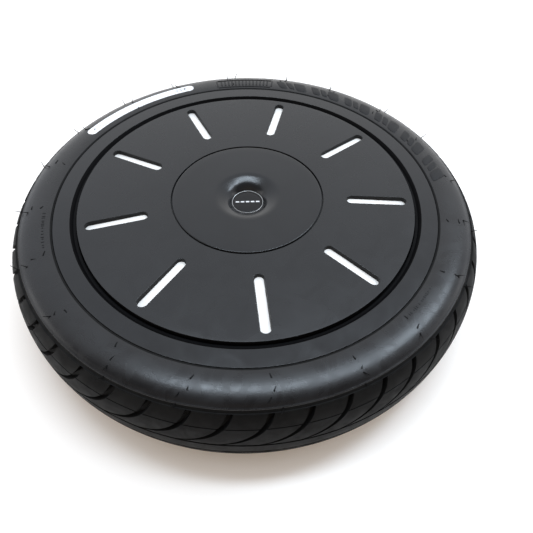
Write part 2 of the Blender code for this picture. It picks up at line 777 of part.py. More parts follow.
def make_axle(finish, parent):
    """Hollow spindle with the mounting flange and the cable bore."""
    thread = 11.8 * MM
    profile = [
        (0.0, HUB_SHOULDER),
        (CABLE_BORE, HUB_SHOULDER),
        (CABLE_BORE, AXLE_FACE + GLAND_POCKET_DEPTH),
        (GLAND_POCKET, AXLE_FACE + GLAND_POCKET_DEPTH),
        (GLAND_POCKET, AXLE_FACE),
        (AXLE_FLANGE_RADIUS - 0.8 * MM, AXLE_FACE),
        (AXLE_FLANGE_RADIUS, AXLE_FACE + 0.8 * MM),
        (AXLE_FLANGE_RADIUS, AXLE_FLANGE_BACK),
        (25.0 * MM, AXLE_FLANGE_BACK),
        (25.0 * MM, -31.0 * MM),
        (INBOARD_SEAT, -31.0 * MM),
        (INBOARD_SEAT, HUB_SHOULDER),
        (HUB_SEAT, HUB_SHOULDER),
        (HUB_SEAT, 4.7 * MM),
        (OUTBOARD_SEAT, 4.7 * MM),
        (OUTBOARD_SEAT, 20.3 * MM),
        (thread, 20.3 * MM),
        (thread, 27.0 * MM),
        (11.0 * MM, 27.8 * MM),
        (0.0, 27.8 * MM),
    ]
    axle = turned_solid("axle", profile, HUB_SEGMENTS, finish, parent)
    centres = [polar(AXLE_BOLT_CIRCLE, angle).xy for angle in around(AXLE_BOLT_COUNT, math.radians(45.0))]
    past = 1.0 * MM
    drill(axle, "axle_bolt_cutter", centres, AXLE_BOLT_RADIUS, AXLE_FACE - past, AXLE_FLANGE_BACK + past)
    keyway = bmesh.new()
    half = KEY_WIDTH / 2.0 + GAP
    sides = [(-half, 14.4 * MM), (half, 14.4 * MM), (half, 20.0 * MM), (-half, 20.0 * MM)]
    add_prism(keyway, sides, HUB_SHOULDER, 8.0 * MM)
    combine(axle, helper("axle_keyway_cutter", keyway), "DIFFERENCE")
    outlet = bmesh.new()
    add_prism(outlet, circle(4.0 * MM, SMALL_SEGMENTS), 5.0 * MM, 24.0 * MM)
    side_hole = helper("axle_side_hole_cutter", outlet)
    side_hole.location = (0.0, 0.0, -10.5 * MM)
    side_hole.rotation_euler = (0.0, math.pi / 2.0, 0.0)
    combine(axle, side_hole, "DIFFERENCE")
    return axle


def make_axle_key(finish, parent):
    """Square key between axle and stator hub."""
    half = KEY_WIDTH / 2.0
    bm = bmesh.new()
    sides = [(-half, 14.8 * MM), (half, 14.8 * MM), (half, 20.8 * MM), (-half, 20.8 * MM)]
    add_prism(bm, sides, -4.5 * MM, 3.9 * MM)
    return place("axle_key", bm, finish, parent)


def make_axle_nut(finish, parent):
    """Hexagon nut that clamps the outboard bearing."""
    corner, hole = 18.0 * MM, 12.6 * MM
    outer, inner = [], []
    for index, angle in enumerate(around(SMALL_SEGMENTS)):
        flat = math.cos(math.pi / 6.0) if index % 2 else 1.0
        outer.append(polar(corner * flat, angle).xy)
        inner.append(polar(hole, angle).xy)
    return place("axle_nut", facing_pair(outer, inner, 22.1 * MM, 26.6 * MM), finish, parent)


def make_axle_washer(finish, parent):
    """Washer under the axle nut."""
    bottom, top = 20.6 * MM, 21.8 * MM
    profile = [(18.5 * MM, top), (18.5 * MM, bottom), (12.4 * MM, bottom), (12.4 * MM, top)]
    return turned("axle_washer", profile, SMALL_SEGMENTS, finish, parent)


def make_cable_gland(finish, parent):
    """Collared sleeve in the mouth of the cable bore, its collar sunk below the flange's face."""
    bore, sleeve = 5.5 * MM, 8.7 * MM
    collar = GLAND_POCKET - 2.0 * GAP
    inner_end = -35.0 * MM
    seat = AXLE_FACE + GLAND_POCKET_DEPTH - GAP
    front = AXLE_FACE + GAP
    profile = [
        (sleeve, inner_end),
        (sleeve, seat),
        (collar, seat),
        (collar, front + 0.7 * MM),
        (collar - 0.7 * MM, front),
        (bore, front),
        (bore, inner_end),
    ]
    return turned("cable_gland", profile, SMALL_SEGMENTS, finish, parent)


def make_sensor_board(finish, parent):
    """Curved circuit board with the rotor position sensors."""
    bm = bmesh.new()
    outline = arc_band(62.0 * MM, 80.0 * MM, math.radians(150.0), math.radians(215.0), steps=5)
    add_prism(bm, outline, -17.2 * MM, -15.6 * MM)
    return place("hall_sensor_board", bm, finish, parent)


def make_oil_seal(finish, parent):
    """Lip seal between the inboard motor cover and the axle."""
    profile = mm([(32.7, -31.9), (32.7, -35.2), (28.0, -35.2), (25.6, -33.6), (25.6, -32.6), (28.0, -31.9)])
    return turned("oil_seal", profile, HUB_SEGMENTS, finish, parent)


# ---------------------------------------------------------------- bearings


def make_race(name, bearing, inner, finish, parent):
    """One race with its ball groove."""
    middle, circle_radius = bearing["height"], bearing["circle"]
    side = -1.0 if inner else 1.0
    back = bearing["bore"] if inner else bearing["outside"]
    shoulder = circle_radius + side * 2.4 * MM
    groove = circle_radius + side * 3.7 * MM
    half_groove = 2.8 * MM
    profile = [
        (back, middle + BEARING_HALF),
        (back, middle - BEARING_HALF),
        (shoulder, middle - BEARING_HALF),
        (shoulder, middle - half_groove),
        (groove, middle),
        (shoulder, middle + half_groove),
        (shoulder, middle + BEARING_HALF),
    ]
    return turned(name, profile, HUB_SEGMENTS, finish, parent)


def make_ball_set(name, bearing, count, finish, parent):
    """Balls of one bearing, held together by their cage."""
    middle, circle_radius = bearing["height"], bearing["circle"]
    half_wide, half_high = 0.8 * MM, 1.1 * MM
    cage = [
        (circle_radius + half_wide, middle + half_high),
        (circle_radius + half_wide, middle - half_high),
        (circle_radius - half_wide, middle - half_high),
        (circle_radius - half_wide, middle + half_high),
    ]
    piece = turned(name, cage, 2 * count, finish, parent)
    balls = bmesh.new()
    for angle in around(count):
        at = Matrix.Translation(polar(circle_radius, angle, middle))
        bmesh.ops.create_uvsphere(balls, u_segments=6, v_segments=4, radius=BALL_RADIUS, matrix=at)
    combine(piece, helper(f"{name}_tool", balls), "UNION")
    return piece


def make_bearing(side, bearing, count, finish, axle_side, wheel_side, orbit):
    """Both races and the ball set of one deep-groove bearing."""
    make_race(f"{side}_bearing_inner_race", bearing, True, finish, axle_side)
    make_race(f"{side}_bearing_outer_race", bearing, False, finish, wheel_side)
    make_ball_set(f"{side}_bearing_balls", bearing, count, finish, orbit)


# ---------------------------------------------------------------- assembly


def main():
    """Build the whole wheel."""
    clear_scene()
    standing = empty("standing_side")
    wheel = empty("wheel_spin_axis")
    outboard_orbit = empty("outboard_ball_axis")
    inboard_orbit = empty("inboard_ball_axis")

    tyre_rubber = material("tyre_rubber", (0.055, 0.056, 0.060), 0.62, 0.0)
    painted_alloy = material("painted_alloy", (0.070, 0.073, 0.078), 0.48, 0.2)
    cover_plastic = material("cover_plastic", (0.068, 0.071, 0.076), 0.45, 0.0)
    white_plastic = material("white_plastic", (0.88, 0.88, 0.87), 0.35, 0.0)
    gloss_black = material("gloss_black", (0.012, 0.012, 0.014), 0.15, 0.0)
    chrome = material("chrome", (0.78, 0.79, 0.80), 0.12, 1.0)
    paper = material("label_paper", (0.82, 0.83, 0.82), 0.55, 0.0)
    black_rubber = material("black_rubber", (0.020, 0.020, 0.021), 0.70, 0.0)
    black_plastic = material("black_plastic", (0.025, 0.025, 0.026), 0.45, 0.0)
    cast_alloy = material("cast_alloy", (0.42, 0.43, 0.44), 0.42, 1.0)
    steel = material("steel", (0.52, 0.52, 0.53), 0.32, 1.0)
    zinc_steel = material("zinc_steel", (0.60, 0.60, 0.62), 0.30, 1.0)
    lamination = material("lamination_steel", (0.30, 0.30, 0.31), 0.45, 1.0)
    copper = material("enamelled_copper", (0.55, 0.22, 0.10), 0.35, 1.0)
    magnet = material("nickel_magnet", (0.50, 0.49, 0.46), 0.30, 1.0)
    board = material("circuit_board", (0.02, 0.16, 0.07), 0.50, 0.0)

    make_tyre(tyre_rubber, wheel)
    make_rim(painted_alloy, wheel)
    make_valve(black_rubber, black_plastic, wheel)
    make_label(paper, wheel)
    make_slotted_cover(cover_plastic, wheel)
    make_insert(white_plastic, wheel)
    make_middle_cover(cover_plastic, wheel)
    make_badge(gloss_black, chrome, wheel)
    make_outboard_motor_cover(cast_alloy, wheel)
    make_inboard_motor_cover(cast_alloy, wheel)
    make_cover_screws(zinc_steel, wheel)
    make_rotor_ring(steel, wheel)
    make_magnets(magnet, wheel)
    make_oil_seal(black_rubber, wheel)

    make_axle(steel, standing)
    make_axle_key(steel, standing)
    make_axle_nut(zinc_steel, standing)
    make_axle_washer(zinc_steel, standing)
    make_cable_gland(black_rubber, standing)
    make_stator_hub(cast_alloy, standing)
    make_stator_core(lamination, standing)
    make_winding(copper, standing)
    make_sensor_board(board, standing)

    make_bearing("outboard", OUTBOARD_BEARING, OUTBOARD_BALLS, steel, standing, wheel, outboard_orbit)
    make_bearing("inboard", INBOARD_BEARING, INBOARD_BALLS, steel, standing, wheel, inboard_orbit)


main()
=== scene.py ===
"""Looks of the hub motor wheel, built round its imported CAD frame.

Lengths are in metres in the CAD frame: the wheel's axis is Z and its closed,
slotted face looks towards +Z.  Every new piece is a mesh made here by rule, rides
on a CAD body and stands for the CAD node whose place and size it keeps.
"""
import math
import random

import bmesh
import bpy
from mathutils import Matrix, Vector


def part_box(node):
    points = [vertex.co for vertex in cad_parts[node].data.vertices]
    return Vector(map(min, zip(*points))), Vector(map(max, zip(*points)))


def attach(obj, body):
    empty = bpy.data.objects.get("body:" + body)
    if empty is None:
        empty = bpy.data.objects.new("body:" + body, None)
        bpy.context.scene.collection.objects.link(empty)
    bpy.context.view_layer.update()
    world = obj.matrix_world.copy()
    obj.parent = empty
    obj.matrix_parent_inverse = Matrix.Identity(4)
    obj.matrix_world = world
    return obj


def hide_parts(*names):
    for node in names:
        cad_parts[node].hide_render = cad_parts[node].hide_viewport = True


MM = 0.001

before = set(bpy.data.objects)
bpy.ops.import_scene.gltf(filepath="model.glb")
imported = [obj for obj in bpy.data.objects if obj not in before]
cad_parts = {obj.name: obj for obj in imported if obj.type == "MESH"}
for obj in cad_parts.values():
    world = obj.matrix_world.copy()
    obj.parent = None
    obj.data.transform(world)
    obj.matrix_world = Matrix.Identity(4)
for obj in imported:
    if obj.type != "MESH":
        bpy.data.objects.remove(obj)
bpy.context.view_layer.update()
WHEEL = "wheel"
STANDING = "standing_side"


# ---- sizes from the CAD frame


def reach(node):
    """Outer radius in millimetres of a node that is centred on the axis."""
    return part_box(node)[1].x / MM


def top_of(node):
    """Highest point of a node, in millimetres."""
    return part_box(node)[1].z / MM


def foot_of(node):
    """Lowest point of a node, in millimetres."""
    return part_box(node)[0].z / MM


TYRE_RADIUS = reach("tyre")
TYRE_TOP = top_of("tyre")
TYRE_FOOT = -foot_of("tyre")
FLANGE_RADIUS = reach("wheel_rim")
FLANGE_FACE = top_of("wheel_rim")
FACE_RADIUS = reach("slotted_cover")
FACE_EDGE = top_of("slotted_cover")
MIDDLE_RADIUS = reach("centre_cover")
MIDDLE_FACE = top_of("centre_cover")
BADGE_TOP = top_of("badge")
BADGE_RADIUS = reach("badge")
BADGE_RING_RADIUS = reach("badge_ring")
BADGE_RING_TOP = top_of("badge_ring")
AXLE_FACE = foot_of("axle")
COVER_SEAT = foot_of("inboard_motor_cover")


# ---- mesh helpers


def polar(radius, angle, height=0.0):
    """A point from its radius, angle and height."""
    return Vector((radius * math.cos(angle), radius * math.sin(angle), height))


def around(count, first=0.0):
    """Equal angles round the axis."""
    return [first + math.tau * step / count for step in range(count)]


def rounded(corners, steps=4):
    """Round a closed profile of (radius, height, fillet) corners given in millimetres."""
    points = []
    count = len(corners)
    for index, (radius, height, fillet) in enumerate(corners):
        here = Vector((radius, height))
        if fillet <= 0.0:
            points.append(here * MM)
            continue
        before = Vector(corners[index - 1][:2]) - here
        after = Vector(corners[(index + 1) % count][:2]) - here
        half = before.angle(after) / 2.0
        reach_back = min(fillet / math.tan(half), 0.48 * before.length, 0.48 * after.length)
        start = here + before.normalized() * reach_back
        stop = here + after.normalized() * reach_back
        for step in range(steps + 1):
            t = step / steps
            points.append(((1 - t) ** 2 * start + 2 * t * (1 - t) * here + t * t * stop) * MM)
    return [(point.x, point.y) for point in points]


def scaled(points):
    """Pairs given in millimetres, in metres."""
    return [(radius * MM, height * MM) for radius, height in points]


def skin(bm, rows, closed=True, capped=False):
    """Quads between rows of corners, each a loop or an open line, with the end loops filled if asked."""
    made = []
    for before, after in zip(rows, rows[1:]):
        for index in range(len(before) - (0 if closed else 1)):
            follow = (index + 1) % len(before)
            made.append(bm.faces.new((before[index], before[follow], after[follow], after[index])))
    if capped:
        bm.faces.new(rows[0])
        bm.faces.new(rows[-1])
    return made


def fan(bm, tip, corners):
    """Triangles from a tip to each pair of neighbouring corners."""
    for pair in zip(corners, corners[1:]):
        bm.faces.new((tip, *pair))


def lathe(bm, profile, segments, shape=None):
    """Turn a profile of (radius, height) about Z, as a ring or as a solid that ends on the axis."""
    solid = profile[0][0] == 0.0 and profile[-1][0] == 0.0
    grid = []
    for radius, height in profile[1:-1] if solid else profile:
        row = []
        for angle in around(segments):
            size = radius if shape is None else shape(radius, height, angle)
            row.append(bm.verts.new(polar(size, angle, height)))
        grid.append(row)
    skin(bm, grid if solid else grid + grid[:1])
    if solid:
        for row, (_, height) in ((grid[0], profile[0]), (grid[-1], profile[-1])):
            fan(bm, bm.verts.new((0.0, 0.0, height)), row + row[:1])


def prism(bm, outline, levels):
    """A closed body through copies of one outline: levels are (height, scale about its centre)."""
    centre = sum((Vector(point) for point in outline), Vector((0.0, 0.0))) / len(outline)
    rows = []
    for height, scale in levels:
        spots = [centre + (Vector(point) - centre) * scale for point in outline]
        rows.append([bm.verts.new((*spot, height)) for spot in spots])
    skin(bm, rows, capped=True)


def circle(radius, segments, centre):
    """Corners of a regular polygon."""
    return [Vector(centre) + polar(radius, angle).xy for angle in around(segments)]


def drill(bm, radius, segments, spot, low, high):
    """A round tool between two heights; sizes in millimetres, the spot in metres."""
    prism(bm, circle(radius * MM, segments, spot), [(low * MM, 1.0), (high * MM, 1.0)])


def shaded(mesh, sharp):
    """Smooth shading with crisp edges above an angle in degrees."""
    mesh.shade_smooth()
    mesh.set_sharp_from_angle(angle=math.radians(sharp))


def object_from(name, bm, materials=(), sharp=32.0):
    """Turn a bmesh into an object with outward faces."""
    bmesh.ops.remove_doubles(bm, verts=bm.verts, dist=2e-7)
    bmesh.ops.recalc_face_normals(bm, faces=bm.faces)
    mesh = bpy.data.meshes.new(name)
    bm.to_mesh(mesh)
    bm.free()
    shaded(mesh, sharp)
    made = bpy.data.objects.new(name, mesh)
    bpy.context.scene.collection.objects.link(made)
    for finish in materials:
        mesh.materials.append(finish)
    return made


def seat(piece, body, slot_name, *nodes):
    """Let a piece ride on a body and stand for CAD nodes; the slot's name is not used."""
    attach(piece, body)
    if nodes:
        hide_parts(*nodes)


def turned(name, profile, segments, finish, body, slot_name, *nodes, sharp=32.0, shape=None, place=None):
    """A turned piece in one finish, put in its place and seated on its body."""
    bm = bmesh.new()
    lathe(bm, profile, segments, shape)
    if place is not None:
        bmesh.ops.transform(bm, matrix=place, verts=bm.verts)
    seat(object_from(name, bm, [finish], sharp), body, slot_name, *nodes)


def carve(target, tools, sharp=32.0):
    """Apply Booleans (object, operation) to a piece and keep flat faces flat in its shading."""
    for tool, operation in tools:
        step = target.modifiers.new(tool.name, "BOOLEAN")
        step.operation = operation
        step.solver = "EXACT"
        step.object = tool
    old = target.data
    mesh = bpy.data.meshes.new_from_object(target.evaluated_get(bpy.context.evaluated_depsgraph_get()))
    mesh.name = old.name
    target.modifiers.clear()
    target.data = mesh
    bpy.data.meshes.remove(old)
    for tool, _ in tools:
        bpy.data.objects.remove(tool)
    shaded(mesh, sharp)
    flat = target.modifiers.new("flat_faces", "WEIGHTED_NORMAL")
    flat.keep_sharp = True


# ---- materials


def add_node(tree, kind, inputs, **values):
    """A new node with some settings, and its inputs set to values or linked to sockets."""
    made = tree.nodes.new(kind)
    for key, value in values.items():
        setattr(made, key, value)
    feed(tree, made, inputs)
    return made


def feed(tree, node, inputs):
    """Set a node's inputs to values or link them to sockets."""
    for key, value in inputs.items():
        if isinstance(value, bpy.types.NodeSocket):
            tree.links.new(value, node.inputs[key])
        else:
            node.inputs[key].default_value = value


class Finish:
    """Builds one procedural material around a Principled shader, in object coordinates."""

    def __init__(self, name, roughness, metallic=0.0, specular=0.5):
        self.made = bpy.data.materials.new(name)
        self.made.use_nodes = True
        self.tree = self.made.node_tree
        self.shader = self.tree.nodes["Principled BSDF"]
        self.paint({"Roughness": roughness, "Metallic": metallic, "Specular IOR Level": specular})
        self.place = self.tree.nodes.new("ShaderNodeTexCoord").outputs["Object"]

    def paint(self, inputs):
        """Set or link inputs of the shader."""
        feed(self.tree, self.shader, inputs)

    def node(self, kind, inputs, **values):
        """A new node in this material."""
        return add_node(self.tree, kind, inputs, **values)

    def noise(self, scale, detail=3.0, distortion=0.0, place=None):
        """Noise with the given number of features to the metre."""
        inputs = {"Scale": scale, "Detail": detail, "Distortion": distortion}
        inputs["Vector"] = self.place if place is None else place
        return self.node("ShaderNodeTexNoise", inputs).outputs["Fac"]

    def rings(self, scale):
        """Noise that only changes with distance from the axis, for turned and moulded rings."""
        split = self.node("ShaderNodeSeparateXYZ", {0: self.place}).outputs
        flat = self.node("ShaderNodeCombineXYZ", {"X": split["X"], "Y": split["Y"]})
        length = self.node("ShaderNodeVectorMath", {0: flat.outputs[0]}, operation="LENGTH")
        line = self.node("ShaderNodeCombineXYZ", {"X": length.outputs["Value"], "Y": split["Z"]})
        return self.noise(scale, 2.0, 0.0, line.outputs[0])

    def spread(self, source, low, high, start=0.3, stop=0.7):
        """Map a noise value onto a range."""
        inputs = {"From Min": start, "From Max": stop, "To Min": low, "To Max": high, "Value": source}
        return self.node("ShaderNodeMapRange", inputs).outputs["Result"]

    def colour(self, source, dark, light, start=0.3, stop=0.7):
        """Colour that wanders between two shades."""
        ramp = self.node("ShaderNodeValToRGB", {"Fac": source})
        for element, spot, shade in zip(ramp.color_ramp.elements, (start, stop), (dark, light)):
            element.position, element.color = spot, (*shade, 1.0)
        self.paint({"Base Color": ramp.outputs["Color"]})

    def roughness(self, source, low, high):
        """Roughness that follows a noise."""
        self.paint({"Roughness": self.spread(source, low, high)})

    def bump(self, sources):
        """Fine relief from (source, height) pairs, one on top of the other."""
        normal = {}
        for source, height in sources:
            made = self.node("ShaderNodeBump", {"Strength": 1.0, "Distance": height, "Height": source, **normal})
            normal = {"Normal": made.outputs["Normal"]}
        self.paint(normal)


def shades(colour, share):
    """A colour made darker and lighter by a share."""
    return tuple(v * (1.0 - share) for v in colour), tuple(v * (1.0 + share) for v in colour)


def moulded(name, colour, roughness, specular=0.5, grain=1400.0, relief=0.012, mottle=22.0, share=0.10):
    """Painted or moulded skin: faint mottling, fine grain, uneven gloss."""
    finish = Finish(name, roughness, 0.0, specular)
    finish.colour(finish.noise(mottle, 5.0, 0.6), *shades(colour, share))
    finish.roughness(finish.noise(mottle * 2.3, 4.0, 0.8), roughness - 0.05, roughness + 0.06)
    finish.bump([(finish.noise(grain, 2.0), relief * MM)])
    return finish.made


def metal(name, colour, roughness, share=0.06, ring_scale=2600.0, cast=0.0):
    """Bare metal: turned rings, or a cast skin where cast gives its relief in millimetres."""
    finish = Finish(name, roughness, 1.0)
    finish.colour(finish.noise(60.0, 4.0, 0.5), *shades(colour, share))
    finish.roughness(finish.noise(180.0, 3.0), roughness - 0.06, roughness + 0.08)
    reliefs = [(finish.rings(ring_scale), 0.010 * MM)]
    if cast:
        reliefs = [(finish.noise(900.0, 3.0), cast * MM), (finish.noise(160.0, 2.0), cast * 1.6 * MM)]
    finish.bump(reliefs)
    return finish.made


def sidewall_rubber():
    """Satin tyre sidewall with moulding rings and patches of release residue."""
    finish = Finish("sidewall_rubber", 0.42, 0.0, 0.37)
    finish.colour(finish.noise(26.0, 5.0, 1.2), (0.0034, 0.0034, 0.0040), (0.0060, 0.0061, 0.0070))
    finish.roughness(finish.noise(38.0, 5.0, 1.8), 0.20, 0.36)
    finish.bump([(finish.rings(900.0), 0.030 * MM), (finish.noise(1100.0, 3.0), 0.020 * MM)])
    return finish.made


def tread_rubber():
    """Matt tread blocks with a brownish bloom."""
    finish = Finish("tread_rubber", 0.66, 0.0, 0.12)
    finish.colour(finish.noise(70.0, 5.0, 0.9), (0.0016, 0.0016, 0.0018), (0.0040, 0.0040, 0.0039))
    finish.roughness(finish.noise(90.0, 4.0, 0.6), 0.58, 0.74)
    finish.bump([(finish.noise(1500.0, 3.0), 0.030 * MM), (finish.noise(240.0, 3.0), 0.060 * MM)])
    return finish.made


def banded(name, roughness, scale, distortion, dark, light, relief):
    """Metal in fine level bands, such as wound wire or stacked sheets."""
    finish = Finish(name, roughness, 1.0)
    inputs = {"Scale": scale, "Distortion": distortion, "Vector": finish.place}
    wave = finish.node("ShaderNodeTexWave", inputs, wave_type="BANDS", bands_direction="Z")
    finish.colour(wave.outputs["Fac"], dark, light, 0.1, 0.9)
    finish.bump([(wave.outputs["Fac"], relief * MM)])
    return finish.made


SIDEWALL = sidewall_rubber()
TREAD = tread_rubber()
EMBOSSED = moulded("embossed_rubber", (0.0050, 0.0051, 0.0060), 0.52, 0.25, 900.0, 0.05, 60.0, 0.18)
HAIR = moulded("moulding_hair_rubber", (0.0020, 0.0020, 0.0021), 0.60, 0.10, 2500.0, 0.01, 200.0, 0.15)
RIM_PAINT = moulded("rim_paint", (0.0080, 0.0084, 0.0094), 0.19, 0.33, 1700.0, 0.012, 20.0, 0.08)
# Near-black for the inside of the deep groove between flange and cover: painted shade.
GROOVE_PAINTED_SHADE = moulded("groove_shadow_black", (0.0014, 0.0014, 0.0018), 0.60, 0.08, 1500.0, 0.01, 40.0, 0.15)
FACE_PAINT = moulded("face_satin_grey", (0.0092, 0.0096, 0.0106), 0.27, 0.34, 1900.0, 0.010, 16.0, 0.09)
# Darker grey for the walls of the face cover's slots and gaps: painted shade in the recesses.
RECESS_PAINTED_SHADE = moulded("recess_wall_painted_shade", (0.0056, 0.0056, 0.0062), 0.50, 0.25, 1500.0, 0.01, 40.0, 0.15)
MIDDLE_PAINT = moulded("middle_satin_grey", (0.0090, 0.0094, 0.0104), 0.19, 0.335, 1900.0, 0.008, 16.0, 0.09)
WHITE = moulded("insert_white", (0.90, 0.875, 0.84), 0.40, 0.4, 1500.0, 0.008, 30.0, 0.02)
BADGE_BLACK = moulded("badge_gloss_black", (0.0045, 0.0045, 0.0050), 0.16, 0.24, 1200.0, 0.003, 60.0, 0.10)
BADGE_PRINT = moulded("badge_print_white", (0.70, 0.70, 0.71), 0.40, 0.4, 1500.0, 0.004, 80.0, 0.06)
PAPER = moulded("label_paper_white", (0.83, 0.84, 0.86), 0.55, 0.3, 2400.0, 0.010, 45.0, 0.035)
PRINT = moulded("label_print_grey", (0.30, 0.30, 0.32), 0.55, 0.3, 2400.0, 0.006, 90.0, 0.10)
BLACK_RUBBER = moulded("stem_black_rubber", (0.012, 0.012, 0.013), 0.62, 0.35, 1600.0, 0.02, 70.0, 0.15)
BLACK_PLASTIC = moulded("cap_black_plastic", (0.014, 0.014, 0.015), 0.42, 0.45, 1800.0, 0.012, 60.0, 0.10)
BOARD = moulded("board_green", (0.012, 0.110, 0.045), 0.42, 0.5, 1200.0, 0.02, 120.0, 0.20)
CHROME = metal("ring_chrome", (0.52, 0.52, 0.52), 0.42, 0.03)
CAST = metal("cast_alloy_skin", (0.40, 0.41, 0.42), 0.46, 0.06, cast=0.05)
STEEL = metal("turned_steel", (0.46, 0.46, 0.47), 0.34, 0.07)
ZINC = metal("zinc_plate", (0.56, 0.57, 0.60), 0.30, 0.08, cast=0.008)
NICKEL = metal("magnet_nickel", (0.50, 0.49, 0.46), 0.30, 0.06, cast=0.01)
COPPER = banded("copper_strands", 0.34, 300.0, 1.2, (0.22, 0.07, 0.025), (0.62, 0.25, 0.10), 0.15)
LAMINATED = banded("lamination_edges", 0.48, 320.0, 0.0, (0.16, 0.16, 0.17), (0.36, 0.36, 0.37), 0.05)


# ---- tyre

PITCH_COUNT = 46
PITCH = math.tau / PITCH_COUNT
FIRST_GROOVE = math.radians(-149.78)
# Columns across one pitch, as shares of it, and whether each lies in the groove.
COLUMNS = ((-0.016, 0.0), (0.008, 1.0), (0.126, 1.0), (0.150, 0.0), (0.23, 0.0), (0.37, 0.0), (0.53, 0.0),
           (0.69, 0.0), (0.85, 0.0))
# Outside the crown's start the section is a superellipse: ((r - start) / reach)^power + (z / half)^2 = 1.
CROWN_START = 196.0
CROWN_REACH = TYRE_RADIUS - CROWN_START
CROWN_POWER = 4.0
CROWN_HALF = TYRE_TOP
TREAD_EDGE = 42.0
TREAD_RUN = 33.6
GROOVE_DEPTH = 4.6


def sweep(height):
    """How far the cross grooves have turned at a height: steep at the shoulder, then round."""
    share = min(max((TREAD_EDGE - abs(height)) / TREAD_RUN, 0.0), 0.98)
    return -math.radians(3.4 * share + 9.0 * (1.0 - math.sqrt(1.0 - share * share)))


def half_rows():
    """Rows from the foot of the sidewall to the middle of the tread, in millimetres.

    Each row is (radius or None, height, offset, groove depth, ring groove depth).
    """
    foot = [(193.35, 43.0), (193.35, 46.2), (193.55, 46.8), (194.1, 47.15), (195.2, 47.4), (197.5, 47.75),
            (200.5, 48.06), (203.5, 48.23)]
    rows = [(radius, height, 0.0, 0.0, 0.0) for radius, height in foot]
    for degrees in (87.0, 85.5, 84.0, 82.7, 81.5, 80.2, 79.0, 77.7, 76.5, 75.2, 74.0, 72.7, 71.5, 69.7):
        rows.append((None, CROWN_HALF * math.sin(math.radians(degrees)), 0.0, 0.0, 0.0))
    rows += [(None, height, offset, 0.0, 0.0) for height, offset in (
        (44.45, 0.0), (44.33, 0.08), (44.22, 0.17), (43.98, 0.17), (43.88, 0.02), (43.72, -0.18),
        (43.40, -0.38), (42.90, -0.48), (42.34, -0.48), (42.14, 0.0))]
    rows += [(None, height, offset, depth, 0.0) for height, offset, depth in (
        (42.00, 0.10, 0.0), (41.82, 0.20, 0.40), (41.50, 0.20, 0.75), (41.34, 0.0, 0.92), (41.10, 0.0, 1.0),
        (40.80, 0.0, 1.0), (40.40, 0.0, 1.0))]
    for step in range(2, 20):
        height = TREAD_EDGE - TREAD_RUN * math.sin(math.radians(4.0 * step))
        if abs(height - 30.6) > 0.8 and height > 10.0:
            rows.append((None, height, 0.0, 1.0, 0.0))
    rows += [(None, height, 0.0, depth, ring) for height, depth, ring in (
        (31.10, 1.0, 0.0), (30.90, 1.0, 0.6), (30.30, 1.0, 0.6), (30.10, 1.0, 0.0), (9.75, 1.0, 0.0),
        (9.35, 1.0, 3.6), (7.65, 0.6, 3.6), (7.25, 0.0, 0.0), (6.2, 0.0, 0.0), (4.0, 0.0, 0.0), (2.0, 0.0, 0.0))]
    crown = sorted((row for row in rows if row[0] is None), key=lambda row: -row[1])
    return [row for row in rows if row[0] is not None] + crown


def tyre_rows():
    """All rows of the closed section: (radius, height, normal, offset, depth, ring depth, sweep, tread)."""
    rows = []
    for side, half in ((1.0, TYRE_TOP), (-1.0, TYRE_FOOT)):
        part = []
        for radius, height, offset, depth, ring in half_rows():
            if radius is not None:
                lift = half / CROWN_HALF
                part.append((radius, side * height * lift, (0.0, side), 0.0, 0.0, 0.0, 0.0, False))
                continue
            level = min(height / CROWN_HALF, 1.0)
            out = (1.0 - level * level) ** (1.0 / CROWN_POWER)
            slope = CROWN_POWER / CROWN_REACH * out ** (CROWN_POWER - 1.0)
            normal = Vector((slope, side * 2.0 * level / half)).normalized()
            spot = (CROWN_START + CROWN_REACH * out, side * half * level)
            tread = height < TREAD_EDGE + 1.8
            part.append((*spot, tuple(normal), offset, depth, ring, sweep(height), tread))
        if side > 0.0:
            rows = part + [(CROWN_START + CROWN_REACH, 0.0, (1.0, 0.0), 0.0, 0.0, 0.0, sweep(0.0), True)]
        else:
            rows += list(reversed(part))
    bead = [(193.0, -41.5), (186.0, -41.5), (180.6, -41.5), (178.4, -39.9), (178.2, -36.0), (178.2, -25.0),
            (179.5, -24.0), (184.0, -23.8), (186.0, -25.0), (193.5, -36.0), (203.0, -42.0)]
    liner = [(215.2 + 17.3 * math.cos(math.radians(a)), -43.2 * math.sin(math.radians(a)))
             for a in range(90, -91, -12)]
    for radius, height in bead + liner + [(radius, -height) for radius, height in reversed(bead)]:
        rows.append((radius, height, (0.0, 0.0), 0.0, 0.0, 0.0, 0.0, False))
    return rows


